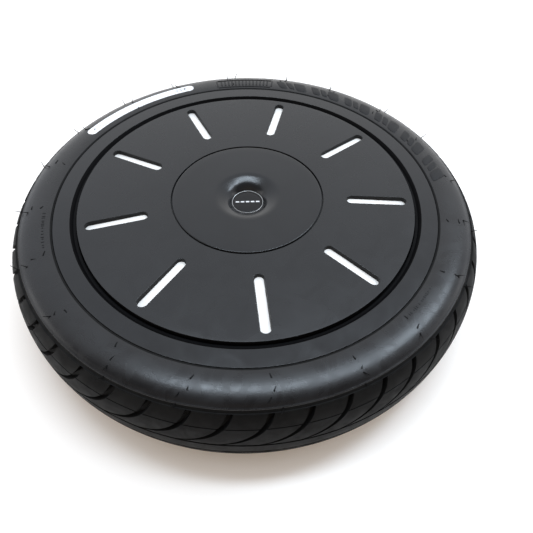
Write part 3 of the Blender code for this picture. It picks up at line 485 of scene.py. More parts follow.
def make_tyre():
    """Tyre with its swept tread grooves, shoulder ribs, sidewalls, beads and liner."""
    rows = tyre_rows()
    columns = PITCH_COUNT * len(COLUMNS)
    points, faces, tread_and_foot_shade = [], [], []
    for row, (radius, height, normal, offset, depth, ring, turn, tread) in enumerate(rows):
        below = (row + 1) % len(rows)
        # Tread faces take the tread rubber. So do the sidewall's foot rows beside the rim, where the darker, matt
        # rubber is painted shade in the crease.
        tread_and_foot_shade += [1 if tread and rows[below][7] or radius < 195.0 and height > 0.0 else 0] * columns
        for pitch in range(PITCH_COUNT):
            for share, grooved in COLUMNS:
                angle = FIRST_GROOVE + (pitch + share) * PITCH + turn
                rise = offset - max(GROOVE_DEPTH * depth * grooved, ring)
                spot = polar(radius + normal[0] * rise, angle, height + normal[1] * rise)
                points.append(spot * MM)
        for column in range(columns):
            after = (column + 1) % columns
            here, under = row * columns, below * columns
            faces.append((here + column, here + after, under + after, under + column))
    mesh = bpy.data.meshes.new("tyre_carcass")
    mesh.from_pydata(points, [], faces)
    mesh.materials.append(SIDEWALL)
    mesh.materials.append(TREAD)
    mesh.polygons.foreach_set("material_index", tread_and_foot_shade)
    mesh.flip_normals()
    shaded(mesh, 38.0)
    tyre = bpy.data.objects.new("tyre_carcass", mesh)
    bpy.context.scene.collection.objects.link(tyre)
    seat(tyre, WHEEL, "tyre", "tyre")


def wall_height(radius_mm):
    """Height of the outboard sidewall at a radius, both in millimetres."""
    if radius_mm < 200.5:
        return 47.4 + (48.06 - 47.4) * (radius_mm - 195.2) / 5.3
    if radius_mm < 203.5:
        return 48.06 + (48.23 - 48.06) * (radius_mm - 200.5) / 3.0
    return CROWN_HALF * math.sqrt(1.0 - ((radius_mm - CROWN_START) / CROWN_REACH) ** CROWN_POWER)


def wall_radius(height_mm):
    """Radius of the outboard shoulder at a height, both in millimetres."""
    return CROWN_START + CROWN_REACH * (1.0 - (height_mm / CROWN_HALF) ** 2) ** (1.0 / CROWN_POWER)


def on_wall(radius_mm, degrees, level):
    """A point some millimetres above the outboard sidewall, in metres."""
    return polar(radius_mm, math.radians(degrees), wall_height(radius_mm) + level) * MM


def wall_bar(bm, start, stop, width, rise=0.45, rounding=0.9, steps=5):
    """A raised bar on the sidewall between two (radius mm, angle) points, with soft ends and edges."""
    first, last = polar(*start), polar(*stop)
    along = (last - first).normalized()
    across = Vector((-along.y, along.x, 0.0))
    half, soft = width / 2.0, 0.04
    shares = [0.0, soft] + [soft + (1.0 - 2.0 * soft) * step / steps for step in range(1, steps)]
    rows = []
    for share in shares + [1.0 - soft, 1.0]:
        end = share in (0.0, 1.0)
        row = []
        for side, raised in ((-1.0, False), (-1.0, True), (1.0, True), (1.0, False)):
            reach_out = half - (rounding * 0.35 if raised else 0.0) - (rounding if end else 0.0)
            spot = first.lerp(last, share) + across * side * max(reach_out, 0.1 * half)
            spot.z = wall_height(spot.xy.length) + (rise if raised and not end else -0.25)
            row.append(bm.verts.new(spot * MM))
        rows.append(row)
    skin(bm, rows, capped=True)


def wall_pad(bm, inner, outer, start, stop, lean=0.0, rise=0.55, squareness=5.0):
    """A raised pad with round corners that follows the sidewall; radii in mm, angles and lean in degrees."""
    spokes, rings = 28, ((0.60, 1.0), (0.86, 0.92), (0.95, 0.55), (1.0, -0.45))
    middle_radius, half_radius = (inner + outer) / 2.0, (outer - inner) / 2.0
    middle_angle, half_angle = (start + stop) / 2.0, (stop - start) / 2.0

    def spot(share, turn, level):
        """A point on the pad from its share of the way out, its direction and its level."""
        out, side = math.cos(turn), math.sin(turn)
        share *= (abs(out) ** squareness + abs(side) ** squareness) ** (-1.0 / squareness)
        radius = middle_radius + half_radius * share * out
        angle = middle_angle + half_angle * share * side + lean * share * out
        return bm.verts.new(on_wall(radius, angle, level))

    rows = [[spot(share, turn, rise * level) for turn in around(spokes)] for share, level in rings]
    fan(bm, spot(0.0, 0.0, rise), rows[0] + rows[0][:1])
    skin(bm, rows)
    bm.faces.new(rows[-1])


# Groups of three slanted blocks: inner and outer radius in mm, start and stop in degrees from the group's middle.
BLOCK_GROUPS, FIRST_GROUP, GROUP_PITCH, BLOCK_LEAN = 6, 9.15, 12.65, 1.2
GROUP_BLOCKS = ((197.8, 214.8, -5.2, -1.0), (199.6, 212.8, -0.5, 1.7), (198.6, 214.0, 2.2, 5.2))
TICK_RADIUS, TICK_ROWS = 201.6, ((-48.5, -38.5), (-173.5, -159.6))


def make_embossing():
    """Plain raised pattern in the moulded band: slanted blocks, a ribbed pad and two rows of ticks."""
    bm = bmesh.new()
    for index in range(BLOCK_GROUPS):
        middle = FIRST_GROUP + GROUP_PITCH * index
        for inner, outer, start, stop in GROUP_BLOCKS:
            wall_pad(bm, inner, outer, middle + start, middle + stop, BLOCK_LEAN)
    turn = math.radians
    for radius in (198.4, 213.6):
        for index in range(10):
            begin = 80.2 + 1.92 * index
            wall_bar(bm, (radius, turn(begin)), (radius, turn(begin + 1.97)), 1.7, 0.5, 0.2, 2)
    for angle in (79.9, 99.7):
        wall_bar(bm, (199.2, turn(angle)), (212.8, turn(angle)), 1.7, 0.5, 0.5, 4)
    for index in range(14):
        angle = turn(81.6 + 1.27 * index)
        wall_bar(bm, (200.8, angle), (211.4, angle), 2.1, 0.45, 0.5, 2)
    dice = random.Random(7)
    for begin, stop in TICK_ROWS:
        angle = begin
        while angle < stop:
            half = dice.choice((1.8, 2.6, 3.2)) / 2.0
            ends = [(TICK_RADIUS + side * half, turn(angle)) for side in (-1.0, 1.0)]
            wall_bar(bm, *ends, 0.9, 0.3, 0.2, 2)
            angle += dice.choice((0.62, 0.8, 1.15))
    seat(object_from("sidewall_embossing", bm, [EMBOSSED], 40.0), WHEEL, "tyre")


def add_hair(bm, root, lean, length, thick):
    """One moulding hair: a thin bent cone."""
    lean = lean.normalized()
    bend = lean.cross(Vector((0.0, 0.0, 1.0))).normalized()
    side = lean.orthogonal().normalized()
    rows = []
    for share in (0.0, 0.25, 0.5, 0.75, 1.0):
        middle = root + lean * length * share + bend * length * 0.12 * share * share
        size = thick * (1.0 - 0.55 * share)
        spokes = [side * math.cos(turn) + lean.cross(side) * math.sin(turn) for turn in around(6)]
        rows.append([bm.verts.new((middle + spoke * size) * MM) for spoke in spokes])
    skin(bm, rows, capped=True)


HAIR_STATIONS, FIRST_HAIR, HAIR_THICK = 20, math.radians(-139.6), 0.75


def make_hairs():
    """Rows of moulding hairs left on the sidewall and the shoulder."""
    bm = bmesh.new()
    dice = random.Random(23)
    limit = TYRE_RADIUS - 0.3
    for index, station in enumerate(around(HAIR_STATIONS, FIRST_HAIR)):
        for radius in (202.8, 213.6) if index % 2 else (206.4, 215.0):
            angle = station + math.radians(dice.uniform(-0.8, 0.8))
            root = polar(radius, angle, wall_height(radius) - 0.1)
            # Most of them were combed one way, and the rest lie anywhere.
            heading = dice.uniform(50.0, 130.0) if dice.random() < 0.75 else dice.uniform(0.0, 360.0)
            heading = math.radians(heading)
            length = dice.uniform(3.4, 5.4)
            droop = (wall_height(radius + length * math.cos(heading - angle)) - wall_height(radius)) / length
            add_hair(bm, root, polar(1.0, heading, min(droop, 0.0) + 0.05), length, HAIR_THICK)
        for height, lift in ((47.0, 0.30), (43.2, 0.62)):
            if dice.random() < 0.15:
                continue
            angle = station + math.radians(dice.uniform(-1.8, 1.8))
            root = polar(wall_radius(height), angle, height - 0.1)
            heading = angle + math.radians(dice.uniform(-38.0, 38.0))
            length = dice.uniform(6.0, 8.5)
            lean = polar(math.sqrt(1.0 - lift * lift), heading, lift)
            # A hair stops short of the wheel's own width and height.
            room = [(TYRE_FOOT - root.z) / lean.z]
            room += [(limit - abs(at)) / abs(way) for at, way in zip(root.xy, lean.xy) if at * way > 0.0]
            add_hair(bm, root, lean, min(length, 0.88 * min(room)), HAIR_THICK * 0.7)
    seat(object_from("moulding_hairs", bm, [HAIR], 60.0), WHEEL, "tyre")


LABEL_INNER, LABEL_OUTER = 201.6, 213.0
LABEL_START, LABEL_STOP = 108.4, 150.3


def wall_sheet(bm, stations, levels, tips=()):
    """A thin closed sheet on the sidewall between two levels, through stations of (degrees, radii in mm)."""
    loops = []
    for level in levels:
        rows = [[bm.verts.new(on_wall(radius, angle, level)) for radius in radii] for angle, radii in stations]
        skin(bm, rows, closed=False)
        first, last = rows[0][-2:0:-1], rows[-1][1:-1]
        if tips:
            first, last = ([bm.verts.new(on_wall(radius, angle, level))] for angle, radius in tips)
            fan(bm, first[0], rows[0])
            fan(bm, last[0], rows[-1])
        loops.append(first + [row[0] for row in rows] + last + [row[-1] for row in reversed(rows)])
    skin(bm, loops)


def wall_patch(bm, inner, outer, start, stop, levels):
    """A sheet on the sidewall between two radii in mm and two angles in degrees."""
    columns = max(1, round((stop - start) / 1.5))
    across = max(1, round((outer - inner) / 2.0))
    radii = [inner + (outer - inner) * step / across for step in range(across + 1)]
    wall_sheet(bm, [(start + (stop - start) * column / columns, radii) for column in range(columns + 1)], levels)


def make_label():
    """Paper label with round ends that follows the sidewall, and rows of plain grey bars on it."""
    middle, half = (LABEL_INNER + LABEL_OUTER) / 2.0, (LABEL_OUTER - LABEL_INNER) / 2.0
    round_end = math.degrees(half / middle)
    begin, end = LABEL_START + round_end, LABEL_STOP - round_end
    turns = [math.radians(9.0 * step) for step in range(1, 11)]
    widths = [(begin - round_end * math.cos(turn), math.sin(turn)) for turn in turns]
    widths += [(begin + (end - begin) * step / 40.0, 1.0) for step in range(1, 40)]
    widths += [(end + round_end * math.cos(turn), math.sin(turn)) for turn in reversed(turns)]
    steps = [step / 3.0 - 1.0 for step in range(7)]
    bm = bmesh.new()
    stations = [(angle, [middle + half * width * step for step in steps]) for angle, width in widths]
    wall_sheet(bm, stations, (-0.25, 0.20), ((LABEL_START, middle), (LABEL_STOP, middle)))
    seat(object_from("paper_label", bm, [PAPER], 40.0), WHEEL, "label_paper", "tyre_label")

    bars = bmesh.new()
    dice = random.Random(11)
    levels = (0.10, 0.235)
    for radius in (204.3, 207.3, 210.3):
        angle = LABEL_START + 9.5
        while angle < LABEL_STOP - 4.0:
            length = dice.uniform(0.8, 3.4)
            if dice.random() < 0.62:
                wall_patch(bars, radius - 0.3, radius + 0.3, angle, min(angle + length, LABEL_STOP - 3.0), levels)
            angle += length + 0.6
    for step in range(9):
        angle = LABEL_START + 3.0 + 0.46 * step
        wall_patch(bars, 203.6, 211.0, angle, angle + 0.16 + 0.10 * (step % 3 == 0), levels)
    seat(object_from("label_print", bars, [PRINT], 40.0), WHEEL, "label_paper")


# ---- rim and face covers


def rim_corners():
    """Section of rim, web and motor housing with its fillets, in millimetres."""
    flange, face = FLANGE_RADIUS, FLANGE_FACE
    return [
        (177.3, face, 0.3), (flange, face, 0.25), (flange, 41.9, 0.6), (180.3, 41.9, 2.0), (177.9, 39.9, 0.8),
        (177.4, 25.0, 3.0), (164.0, 18.5, 6.0), (164.0, -20.0, 6.0), (177.4, -25.5, 3.0), (177.9, -39.9, 0.8),
        (180.3, -41.9, 2.0), (flange, -41.9, 0.6), (flange, -face, 1.0), (177.3, -face, 1.6), (172.6, -42.0, 2.0),
        (171.8, -28.5, 8.0), (158.5, -19.5, 6.0), (158.5, 0.0, 3.0), (132.0, 0.0, 3.0), (132.0, -31.0, 0.8),
        (118.5, -31.0, 0.5), (118.5, 31.0, 0.5), (132.0, 31.0, 0.8), (132.0, 9.0, 3.0), (158.5, 9.0, 3.0),
        (158.5, 16.5, 4.0), (171.2, 26.5, 3.0), (167.2, 33.5, 1.0), (167.2, 36.7, 0.4), (171.9, 36.7, 0.6),
        (171.9, 42.4, 0.5), (174.6, 43.0, 1.0),
    ]


def window_outline(middle):
    """Outline of one web opening with round corners."""
    inner, outer, half, corner = 137.0, 154.0, math.radians(12.0), 4.0
    points = []
    for radius, side, edge, first in ((outer, -1.0, half, 0.0), (inner, 1.0, half, 0.5), (inner, 1.0, -half, 1.0),
                                      (outer, -1.0, -half, 1.5)):
        centre = edge - math.copysign(corner / radius, edge)
        for step in range(6):
            # Along a corner the outline runs from facing outwards to facing sideways.
            turn = math.pi * (first + 0.1 * step)
            out = radius + side * corner + corner * math.cos(turn)
            points.append((out, centre + corner * math.sin(turn) / radius))
    points.sort(key=lambda point: math.atan2(point[1] * 145.0, point[0] - 145.5))
    return [tuple(polar(radius * MM, middle + angle).xy) for radius, angle in points]


def valve_place():
    """Turns a piece made along +Z so that it points from the rim's drop centre at the axle, as the CAD cap does."""
    low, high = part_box("valve_cap")
    middle = (low + high) / 2.0
    angle = math.atan2(middle.y, middle.x)
    turn = Matrix.Rotation(angle, 4, "Z") @ Matrix.Rotation(-math.pi / 2.0, 4, "Y")
    return Matrix.Translation(polar(164.0 * MM, angle, middle.z)) @ turn


def screw_spots():
    """Where the six motor cover screws stand, from where the CAD screws sit."""
    found = []
    for index in range(1, 7):
        low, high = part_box(f"inboard_cover_screw_{index}")
        found.append(((low + high) / 2.0).xy)
    return found


def make_rim():
    """Rim, web and housing ring in one casting, with windows, tapped holes and the valve hole."""
    bm, windows, taps, bore = bmesh.new(), bmesh.new(), bmesh.new(), bmesh.new()
    lathe(bm, rounded(rim_corners(), 3), 216)
    rim = object_from("alloy_rim", bm, [RIM_PAINT, GROOVE_PAINTED_SHADE])
    for middle in around(9, math.radians(13.0)):
        prism(windows, window_outline(middle), [(-2.0 * MM, 1.0), (11.0 * MM, 1.0)])
    for spot in screw_spots():
        for bottom, top in ((-32.0, -18.5), (18.5, 32.0)):
            drill(taps, 2.7, 14, spot, bottom, top)
    drill(bore, 5.9, 28, (0.0, 0.0), -8.0, 14.0)
    bmesh.ops.transform(bore, matrix=valve_place(), verts=bore.verts)
    tools = (("windows", windows), ("taps", taps), ("bore", bore))
    carve(rim, [(object_from(name, tool), "DIFFERENCE") for name, tool in tools])
    # Faces inside the groove, below the flange and beside the cover, take the near-black material: painted shade in the
    # recess.
    for face in rim.data.polygons:
        if face.center.xy.length < 177.2 * MM and face.center.z > 24.0 * MM:
            face.material_index = 1
    seat(rim, WHEEL, "painted_alloy", "wheel_rim")


SLOT_COUNT = 9
SLOT_FIRST = math.radians(-5.7)
SLOT_HALF = 5.2
SLOT_DRAFT = 0.85
CAP_OUT, CAP_IN = 158.5, 107.8
ARC_OUT, SIDE, ARC_IN = 20, 14, 12


def stadium(offset, longer=0.0):
    """Outline of a slot grown by an offset, and longer outwards, in millimetres, in the slot's own direction."""
    size, cap_out = SLOT_HALF + offset, CAP_OUT + longer
    quarter = math.pi / 2.0
    points = [Vector((cap_out, 0.0)) + polar(size, math.pi * step / ARC_OUT - quarter).xy for step in range(ARC_OUT)]
    points += [Vector((cap_out + (CAP_IN - cap_out) * step / SIDE, size)) for step in range(SIDE)]
    points += [Vector((CAP_IN, 0.0)) + polar(size, quarter + math.pi * step / ARC_IN).xy for step in range(ARC_IN)]
    return points + [Vector((CAP_IN + (cap_out - CAP_IN) * step / SIDE, -size)) for step in range(SIDE)]


def sector(outer, inner):
    """Outline of one slot's share of the ring, point for point with the slot's outline."""
    half = math.pi / SLOT_COUNT
    points = [polar(outer, -half + 2.0 * half * step / ARC_OUT) for step in range(ARC_OUT)]
    points += [polar(outer + (inner - outer) * step / SIDE, half) for step in range(SIDE)]
    points += [polar(inner, half - 2.0 * half * step / ARC_IN) for step in range(ARC_IN)]
    points += [polar(inner + (outer - inner) * step / SIDE, -half) for step in range(SIDE)]
    return [point.xy for point in points]


def face_height(radius):
    """Height of the cover's face, which dishes very slightly towards the middle, in millimetres."""
    low, high = MIDDLE_FACE, FACE_EDGE
    return low + (high - low) * (radius - 79.0) / (170.2 - 79.0)


def make_slotted_cover():
    """Face cover whose mesh flows round its nine slots, with soft slot edges and deep walls whose darker material is
    painted shade.
    """
    under = top_of("slot_insert_ring") + 0.3
    fillet, inner_edge, plate_edge = 0.45, 79.0, 170.2
    edge, high, middle_face = FACE_RADIUS, FACE_EDGE, MIDDLE_FACE
    turns = [math.radians(22.5 * step) for step in range(5)]
    rounding = [(fillet * (1 - math.cos(turn)), fillet * (1 - math.sin(turn))) for turn in turns]
    loops = []
    for share in (1.0, 0.5):
        blend = [a.lerp(b, share) for a, b in zip(stadium(1.5), sector(168.2, 94.0))]
        loops.append([(p, under) for p in blend])
    loops.append([(p, under) for p in stadium(-SLOT_DRAFT, SLOT_DRAFT)])
    loops.append([(p, face_height(p.length) - fillet - 0.5) for p in stadium(0.0)])
    for offset, drop in rounding + [(1.3, 0.0), (2.6, 0.0)]:
        loops.append([(p, face_height(p.length) - drop) for p in stadium(offset)])
    for share in (0.12, 0.3, 0.55, 0.8, 1.0):
        blend = [a.lerp(b, share) for a, b in zip(stadium(2.6), sector(plate_edge, inner_edge))]
        loops.append([(p, face_height(p.length)) for p in blend])
    outer_strip = [(plate_edge, high), (edge - 0.07, high - 0.02), (edge, high - 0.12), (edge, 43.6), (edge, 40.0),
                   (edge, 37.4), (170.2, 37.0), (168.6, 37.0), (168.2, 37.4), (168.2, under)]
    inner_strip = [(inner_edge, middle_face), (78.84, middle_face - 0.12), (78.75, middle_face - 0.4),
                   (78.75, 42.9), (70.0, 42.9), (70.0, 40.4), (93.0, 40.4), (94.0, under)]
    half = math.pi / SLOT_COUNT
    bm = bmesh.new()
    for middle in around(SLOT_COUNT, SLOT_FIRST):
        turn = Matrix.Rotation(middle, 2)
        rows = [[bm.verts.new(Vector((*(turn @ p), height)) * MM) for p, height in loop] for loop in loops]
        for index, pair in enumerate(zip(rows, rows[1:])):
            for face in skin(bm, pair):
                # The slot walls and the foot of their soft edges take the darker wall material: painted shade.
                face.material_index = 1 if index in (2, 3, 4) else 0
        for sign, steps, strip in ((1.0, ARC_OUT, outer_strip), (-1.0, ARC_IN, inner_strip)):
            angles = [middle + sign * (-half + 2.0 * half * step / steps) for step in range(steps + 1)]
            columns = [[bm.verts.new(polar(r, angle, h) * MM) for r, h in strip] for angle in angles]
            for index, face in enumerate(skin(bm, columns, closed=False)):
                # Below the soft edges, the walls down into the groove and the seam gap take the darker wall material:
                # painted shade.
                face.material_index = 1 if index % (len(strip) - 1) > 1 else 0
    cover = object_from("slotted_face", bm, [FACE_PAINT, RECESS_PAINTED_SHADE], 30.0)
    seat(cover, WHEEL, "cover_plastic", "slotted_cover")


def make_insert():
    """White ring under the slots."""
    top, foot = top_of("slot_insert_ring"), foot_of("slot_insert_ring")
    corners = [(167.0, top, 0.4), (167.0, foot, 0.4), (96.0, foot, 0.4), (96.0, top, 0.4)]
    turned("white_insert", rounded(corners, 2), 144, WHITE, WHEEL, "white_plastic", "slot_insert_ring")


def make_middle_cover():
    """Middle cover with its smooth round dimple."""
    pocket, dimple = 16.9, 36.0
    face = MIDDLE_FACE
    edge = MIDDLE_RADIUS - 0.75
    profile = [(0.0, 33.6), (8.0, 33.6), (pocket, 33.6), (pocket, 34.6)]
    slopes = ((pocket, 1.18), (22.6, 0.59), (24.4, 0.46), (30.0, 0.375), (32.6, 0.20), (dimple, 0.007))
    wall, height = [], face - 0.3
    radius = dimple
    while radius > pocket + 0.01:
        wall.append((radius, height))
        for (near, steep), (far, gentle) in zip(slopes, slopes[1:]):
            if near < radius <= far:
                height -= (steep + (gentle - steep) * (radius - near) / (far - near)) * 0.5
        radius -= 0.5
    profile += reversed(wall)
    for step in range(1, 6):
        profile.append((dimple + (edge - 1.2 - dimple) * step / 5.0, face - 0.3 + 0.3 * step / 5.0))
    profile += [(edge - 0.9, face - 0.02), (edge - 0.35, face - 0.14), (edge - 0.06, face - 0.45), (edge, face - 0.9)]
    profile += [(edge, 43.3), (69.5, 43.3), (69.5, 39.6), (67.4, 39.6), (67.4, 43.0), (40.0, 42.9),
                (31.0, 40.6), (23.0, 34.2), (18.5, 31.6), (0.0, 31.4)]
    turned("dished_cover", scaled(profile), 180, MIDDLE_PAINT, WHEEL, "cover_plastic", "centre_cover", sharp=35.0)


def make_badge():
    """Gloss black badge with five plain printed bars, inside a bright ring."""
    top, radius, seat_height = BADGE_TOP, BADGE_RADIUS, 33.9
    disc = [(0.0, seat_height), (radius, seat_height), (radius, top - 0.45), (radius - 0.12, top - 0.2),
            (radius - 0.45, top - 0.05), (radius - 0.9, top), (radius * 0.5, top), (0.0, top)]
    turned("badge_disc", scaled(disc), 96, BADGE_BLACK, WHEEL, "gloss_black", "badge")

    inner, outer, high = 15.8, BADGE_RING_RADIUS, BADGE_RING_TOP
    corners = [(inner, seat_height, 0.0), (outer, seat_height, 0.0), (outer, high - 0.45, 0.3),
               (inner + 0.35, high, 0.15), (inner, high - 0.2, 0.15)]
    turned("badge_bright_ring", rounded(corners, 4), 120, CHROME, WHEEL, "chrome", "badge_ring", sharp=50.0)

    marks = bmesh.new()
    corner, half_long, half_wide, pitch = 0.4, 1.9, 0.9, 5.3
    for index in range(5):
        outline = []
        for across, up, first in ((1, 1, 0.0), (-1, 1, 90.0), (-1, -1, 180.0), (1, -1, 270.0)):
            centre = Vector(((index - 2) * pitch + across * (half_long - corner), up * (half_wide - corner)))
            for step in range(4):
                outline.append((centre + polar(corner, math.radians(first + 30.0 * step)).xy) * MM)
        prism(marks, outline, [((top - 0.1) * MM, 1.0), ((top + 0.04) * MM, 1.0), ((top + 0.06) * MM, 0.94)])
    seat(object_from("badge_marks", marks, [BADGE_PRINT], 40.0), WHEEL, "gloss_black")


# ---- the side that faces the vehicle


def make_motor_cover():
    """Inboard motor cover with cast ribs, screw holes and the seal's seat."""
    foot = COVER_SEAT
    corners = [
        (33.0, -35.4, 0.5), (33.0, -31.2, 0.0), (34.3, -31.2, 0.0), (34.3, -15.4, 0.5), (40.5, -15.4, 0.8),
        (42.0, -31.0, 1.5), (113.0, -31.5, 1.0), (114.5, -27.5, 0.5), (117.8, -27.5, 0.5), (117.8, -31.3, 0.0),
        (131.7, -31.3, 0.3), (131.7, foot, 1.2), (52.0, foot, 1.5), (48.0, -35.4, 1.0),
    ]
    bm, ribs, boss, holes = bmesh.new(), bmesh.new(), bmesh.new(), bmesh.new()
    lathe(bm, rounded(corners, 4), 160)
    cover = object_from("motor_end_cover", bm, [CAST])
    for angle in around(12):
        turn = Matrix.Rotation(angle, 4, "Z")
        rows = []
        for radius, high, wide in ((55.0, 0.0, 1.6), (58.0, 1.5, 1.8), (62.0, 2.2, 2.0), (86.0, 2.2, 2.2),
                                   (106.0, 2.0, 2.4), (110.0, 1.3, 2.3), (113.5, 0.0, 2.0)):
            spots = [(radius, side * wide, foot + 0.8 - (0.9 + high) * level)
                     for side, level in ((-1.35, 0.0), (-0.8, 1.0), (0.8, 1.0), (1.35, 0.0))]
            rows.append([ribs.verts.new(turn @ (Vector(spot) * MM)) for spot in spots])
        skin(ribs, rows, capped=True)
    lathe(boss, rounded([(116.5, -35.6, 0.0), (116.5, -37.2, 0.5), (119.0, -37.2, 0.5), (119.0, -35.6, 0.0)], 3), 160)
    for spot in screw_spots():
        drill(holes, 2.9, 20, spot, -40.0, -26.0)
    tools = (("ribs", ribs, "UNION"), ("boss", boss, "UNION"), ("holes", holes, "DIFFERENCE"))
    carve(cover, [(object_from(name, tool), operation) for name, tool, operation in tools], 28.0)
    seat(cover, WHEEL, "cast_alloy", "inboard_motor_cover")


def hexagon(radius, height, angle):
    """Radius of a hexagon head whose corners are turned off at the top."""
    if radius < 3.0 * MM or radius > 4.7 * MM:
        return radius
    across = math.cos(math.pi / 6.0) / math.cos((angle % (math.pi / 3.0)) - math.pi / 6.0)
    return radius * across if radius > 4.35 * MM else min(radius, 4.6 * MM * across)


def make_cover_screws():
    """Six flanged hexagon screws in the inboard motor cover."""
    profile = scaled([(0.0, 2.4), (2.0, 2.4), (3.8, 2.4), (4.15, 2.25), (4.6, 1.9), (4.6, 0.75), (5.0, 0.6),
                      (5.4, 0.45), (5.4, 0.05), (5.3, 0.0), (2.3, 0.0), (2.3, -15.0), (0.0, -15.5)])
    for index, spot in enumerate(screw_spots(), 1):
        turn = Matrix.Rotation(math.pi, 4, "X") @ Matrix.Rotation(0.35 * index, 4, "Z")
        place = Matrix.Translation((*spot, (COVER_SEAT - 0.05) * MM)) @ turn
        turned(f"cover_screw_{index}", profile, 48, ZINC, WHEEL, "zinc_steel", f"inboard_cover_screw_{index}",
               sharp=28.0, shape=hexagon, place=place)


def make_axle():
    """Axle with its mounting flange, four bolt holes, cable bore and gland pocket."""
    corners = [
        (9.0, -5.0, 0.0), (9.0, AXLE_FACE + 2.5, 0.0), (11.5, AXLE_FACE + 2.5, 0.2), (11.5, AXLE_FACE, 0.35),
        (42.0, AXLE_FACE, 0.8),
        (42.0, -36.5, 0.6), (25.0, -36.5, 0.5), (25.0, -31.0, 0.4), (19.7, -31.0, 0.0), (19.7, -5.0, 0.4),
        (18.0, -5.0, 0.0), (18.0, 4.7, 0.4), (12.2, 4.7, 0.0), (12.2, 20.3, 0.3), (11.8, 20.3, 0.0),
        (11.8, 27.8, 0.8), (0.0, 27.8, 0.0),
    ]
    bm, holes = bmesh.new(), bmesh.new()
    lathe(bm, [(0.0, -5.0 * MM)] + rounded(corners, 3), 128)
    axle = object_from("flanged_axle", bm, [STEEL])
    for angle in around(4, math.radians(45.0)):
        spot = polar(33.0 * MM, angle).xy
        drill(holes, 4.25, 32, spot, AXLE_FACE - 1.0, -35.5)
        flare = ((-0.6, 1.0), (-0.05, 1.0), (0.55, 4.2 / 4.95))
        prism(holes, circle(4.95 * MM, 32, spot), [((AXLE_FACE + height) * MM, scale) for height, scale in flare])
    carve(axle, [(object_from("holes", holes), "DIFFERENCE")], 26.0)
    seat(axle, STANDING, "steel", "axle")


def make_gland():
    """Rubber gland in the axle's mouth."""
    inside, outside = AXLE_FACE + 2.2, AXLE_FACE + 0.3
    corners = [(8.7, -35.0, 0.0), (8.7, inside, 0.0), (10.9, inside, 0.2), (10.9, outside, 0.7),
               (5.5, outside, 0.8), (5.5, -35.0, 0.5)]
    turned("rubber_gland", rounded(corners, 4), 64, BLACK_RUBBER, STANDING, "black_rubber", "cable_gland")


def ribbed(radius, height, angle):
    """Radius of the valve cap, with grip ribs on its lower skirt."""
    if radius > 4.9 * MM and height < 24.2 * MM:
        return radius - 0.14 * MM * (1.0 - math.cos(16.0 * angle))
    return radius


def make_valve():
    """Snap-in valve stem and its ribbed cap."""
    place = valve_place()
    stem = [(0.0, -3.4), (6.6, -3.4), (7.9, -3.1), (8.4, -2.4), (8.4, -0.7), (8.0, -0.35), (5.6, -0.3), (5.5, 0.2),
            (5.5, 6.0), (5.8, 6.25), (6.8, 6.35), (7.0, 6.8), (6.9, 7.6), (6.6, 9.0), (5.6, 11.5), (4.6, 14.0),
            (3.9, 15.0), (3.9, 23.6), (3.5, 24.0), (0.0, 24.0)]
    turned("rubber_valve_stem", scaled(stem), 48, BLACK_RUBBER, WHEEL, "black_rubber", "valve_stem", sharp=40.0,
           place=place)
    cap = [(0.0, 24.6), (4.1, 24.6), (4.1, 18.6), (5.0, 18.6), (5.2, 18.9), (5.2, 21.5), (5.2, 24.0), (5.1, 24.6),
           (5.0, 25.4), (4.5, 26.3), (3.8, 26.6), (0.0, 26.6)]
    turned("ribbed_valve_cap", scaled(cap), 96, BLACK_PLASTIC, WHEEL, "black_plastic", "valve_cap", sharp=40.0,
           shape=ribbed, place=place)


def dress_cad_nodes():
    """Give every CAD node that stays on show a material of its own kind."""
    finishes = {
        "magnet_ring": NICKEL, "outboard_motor_cover": CAST, "oil_seal": BLACK_RUBBER, "axle_nut": ZINC,
        "axle_washer": ZINC, "stator_hub": CAST, "stator_core": LAMINATED, "winding": COPPER,
        "hall_sensor_board": BOARD,
    }
    for name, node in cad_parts.items():
        if not node.hide_render:
            node.data.materials.clear()
            node.data.materials.append(finishes.get(name, ZINC if "screw" in name else STEEL))


# ---- floor, light and camera

LENS, CAMERA_SPOT, CAMERA_TURN = 30.12, (-0.0005, -0.3387, 0.3697), (37.0688, -0.7856, -2.6913)
# Colours of the surroundings by direction, from behind the viewer at 0 to behind the wheel at 1.
AWAY_FROM_VIEWER, SKY_STRENGTH = (0.12, 1.0, 0.0), 1.55
SKY = ((0.0, (0.40, 0.31, 0.22)), (0.30, (0.17, 0.152, 0.14)), (0.42, (0.17, 0.165, 0.16)),
       (0.49, (0.50, 0.50, 0.52)), (0.58, (0.77, 0.79, 0.83)), (0.76, (0.87, 0.91, 0.98)), (1.0, (1.0, 1.0, 1.0)))
# Each lamp: name, place, the point it looks at, length and width, power, colour and turn in degrees.
COOL, NEUTRAL = (0.75, 0.875, 1.0), (1.0, 1.0, 1.0)
LAMPS = (
    ("overhead_near", (0.10, 0.13, 1.5), (0.10, 0.13, 0.0), (1.15, 0.19), 12.9, COOL, 0.0),
    ("overhead_far", (1.05, 0.40, 1.5), (1.05, 0.40, 0.0), (0.8, 0.38), 10.5, COOL, 25.5),
    ("left_fill", (-1.8, -0.45, 0.60), (0.0, -0.1, 0.0), (1.7, 1.2), 9.0, NEUTRAL, 0.0),
    ("right_fill", (1.8, -0.40, 0.55), (0.0, -0.1, 0.0), (1.7, 1.0), 5.0, NEUTRAL, 0.0),
)


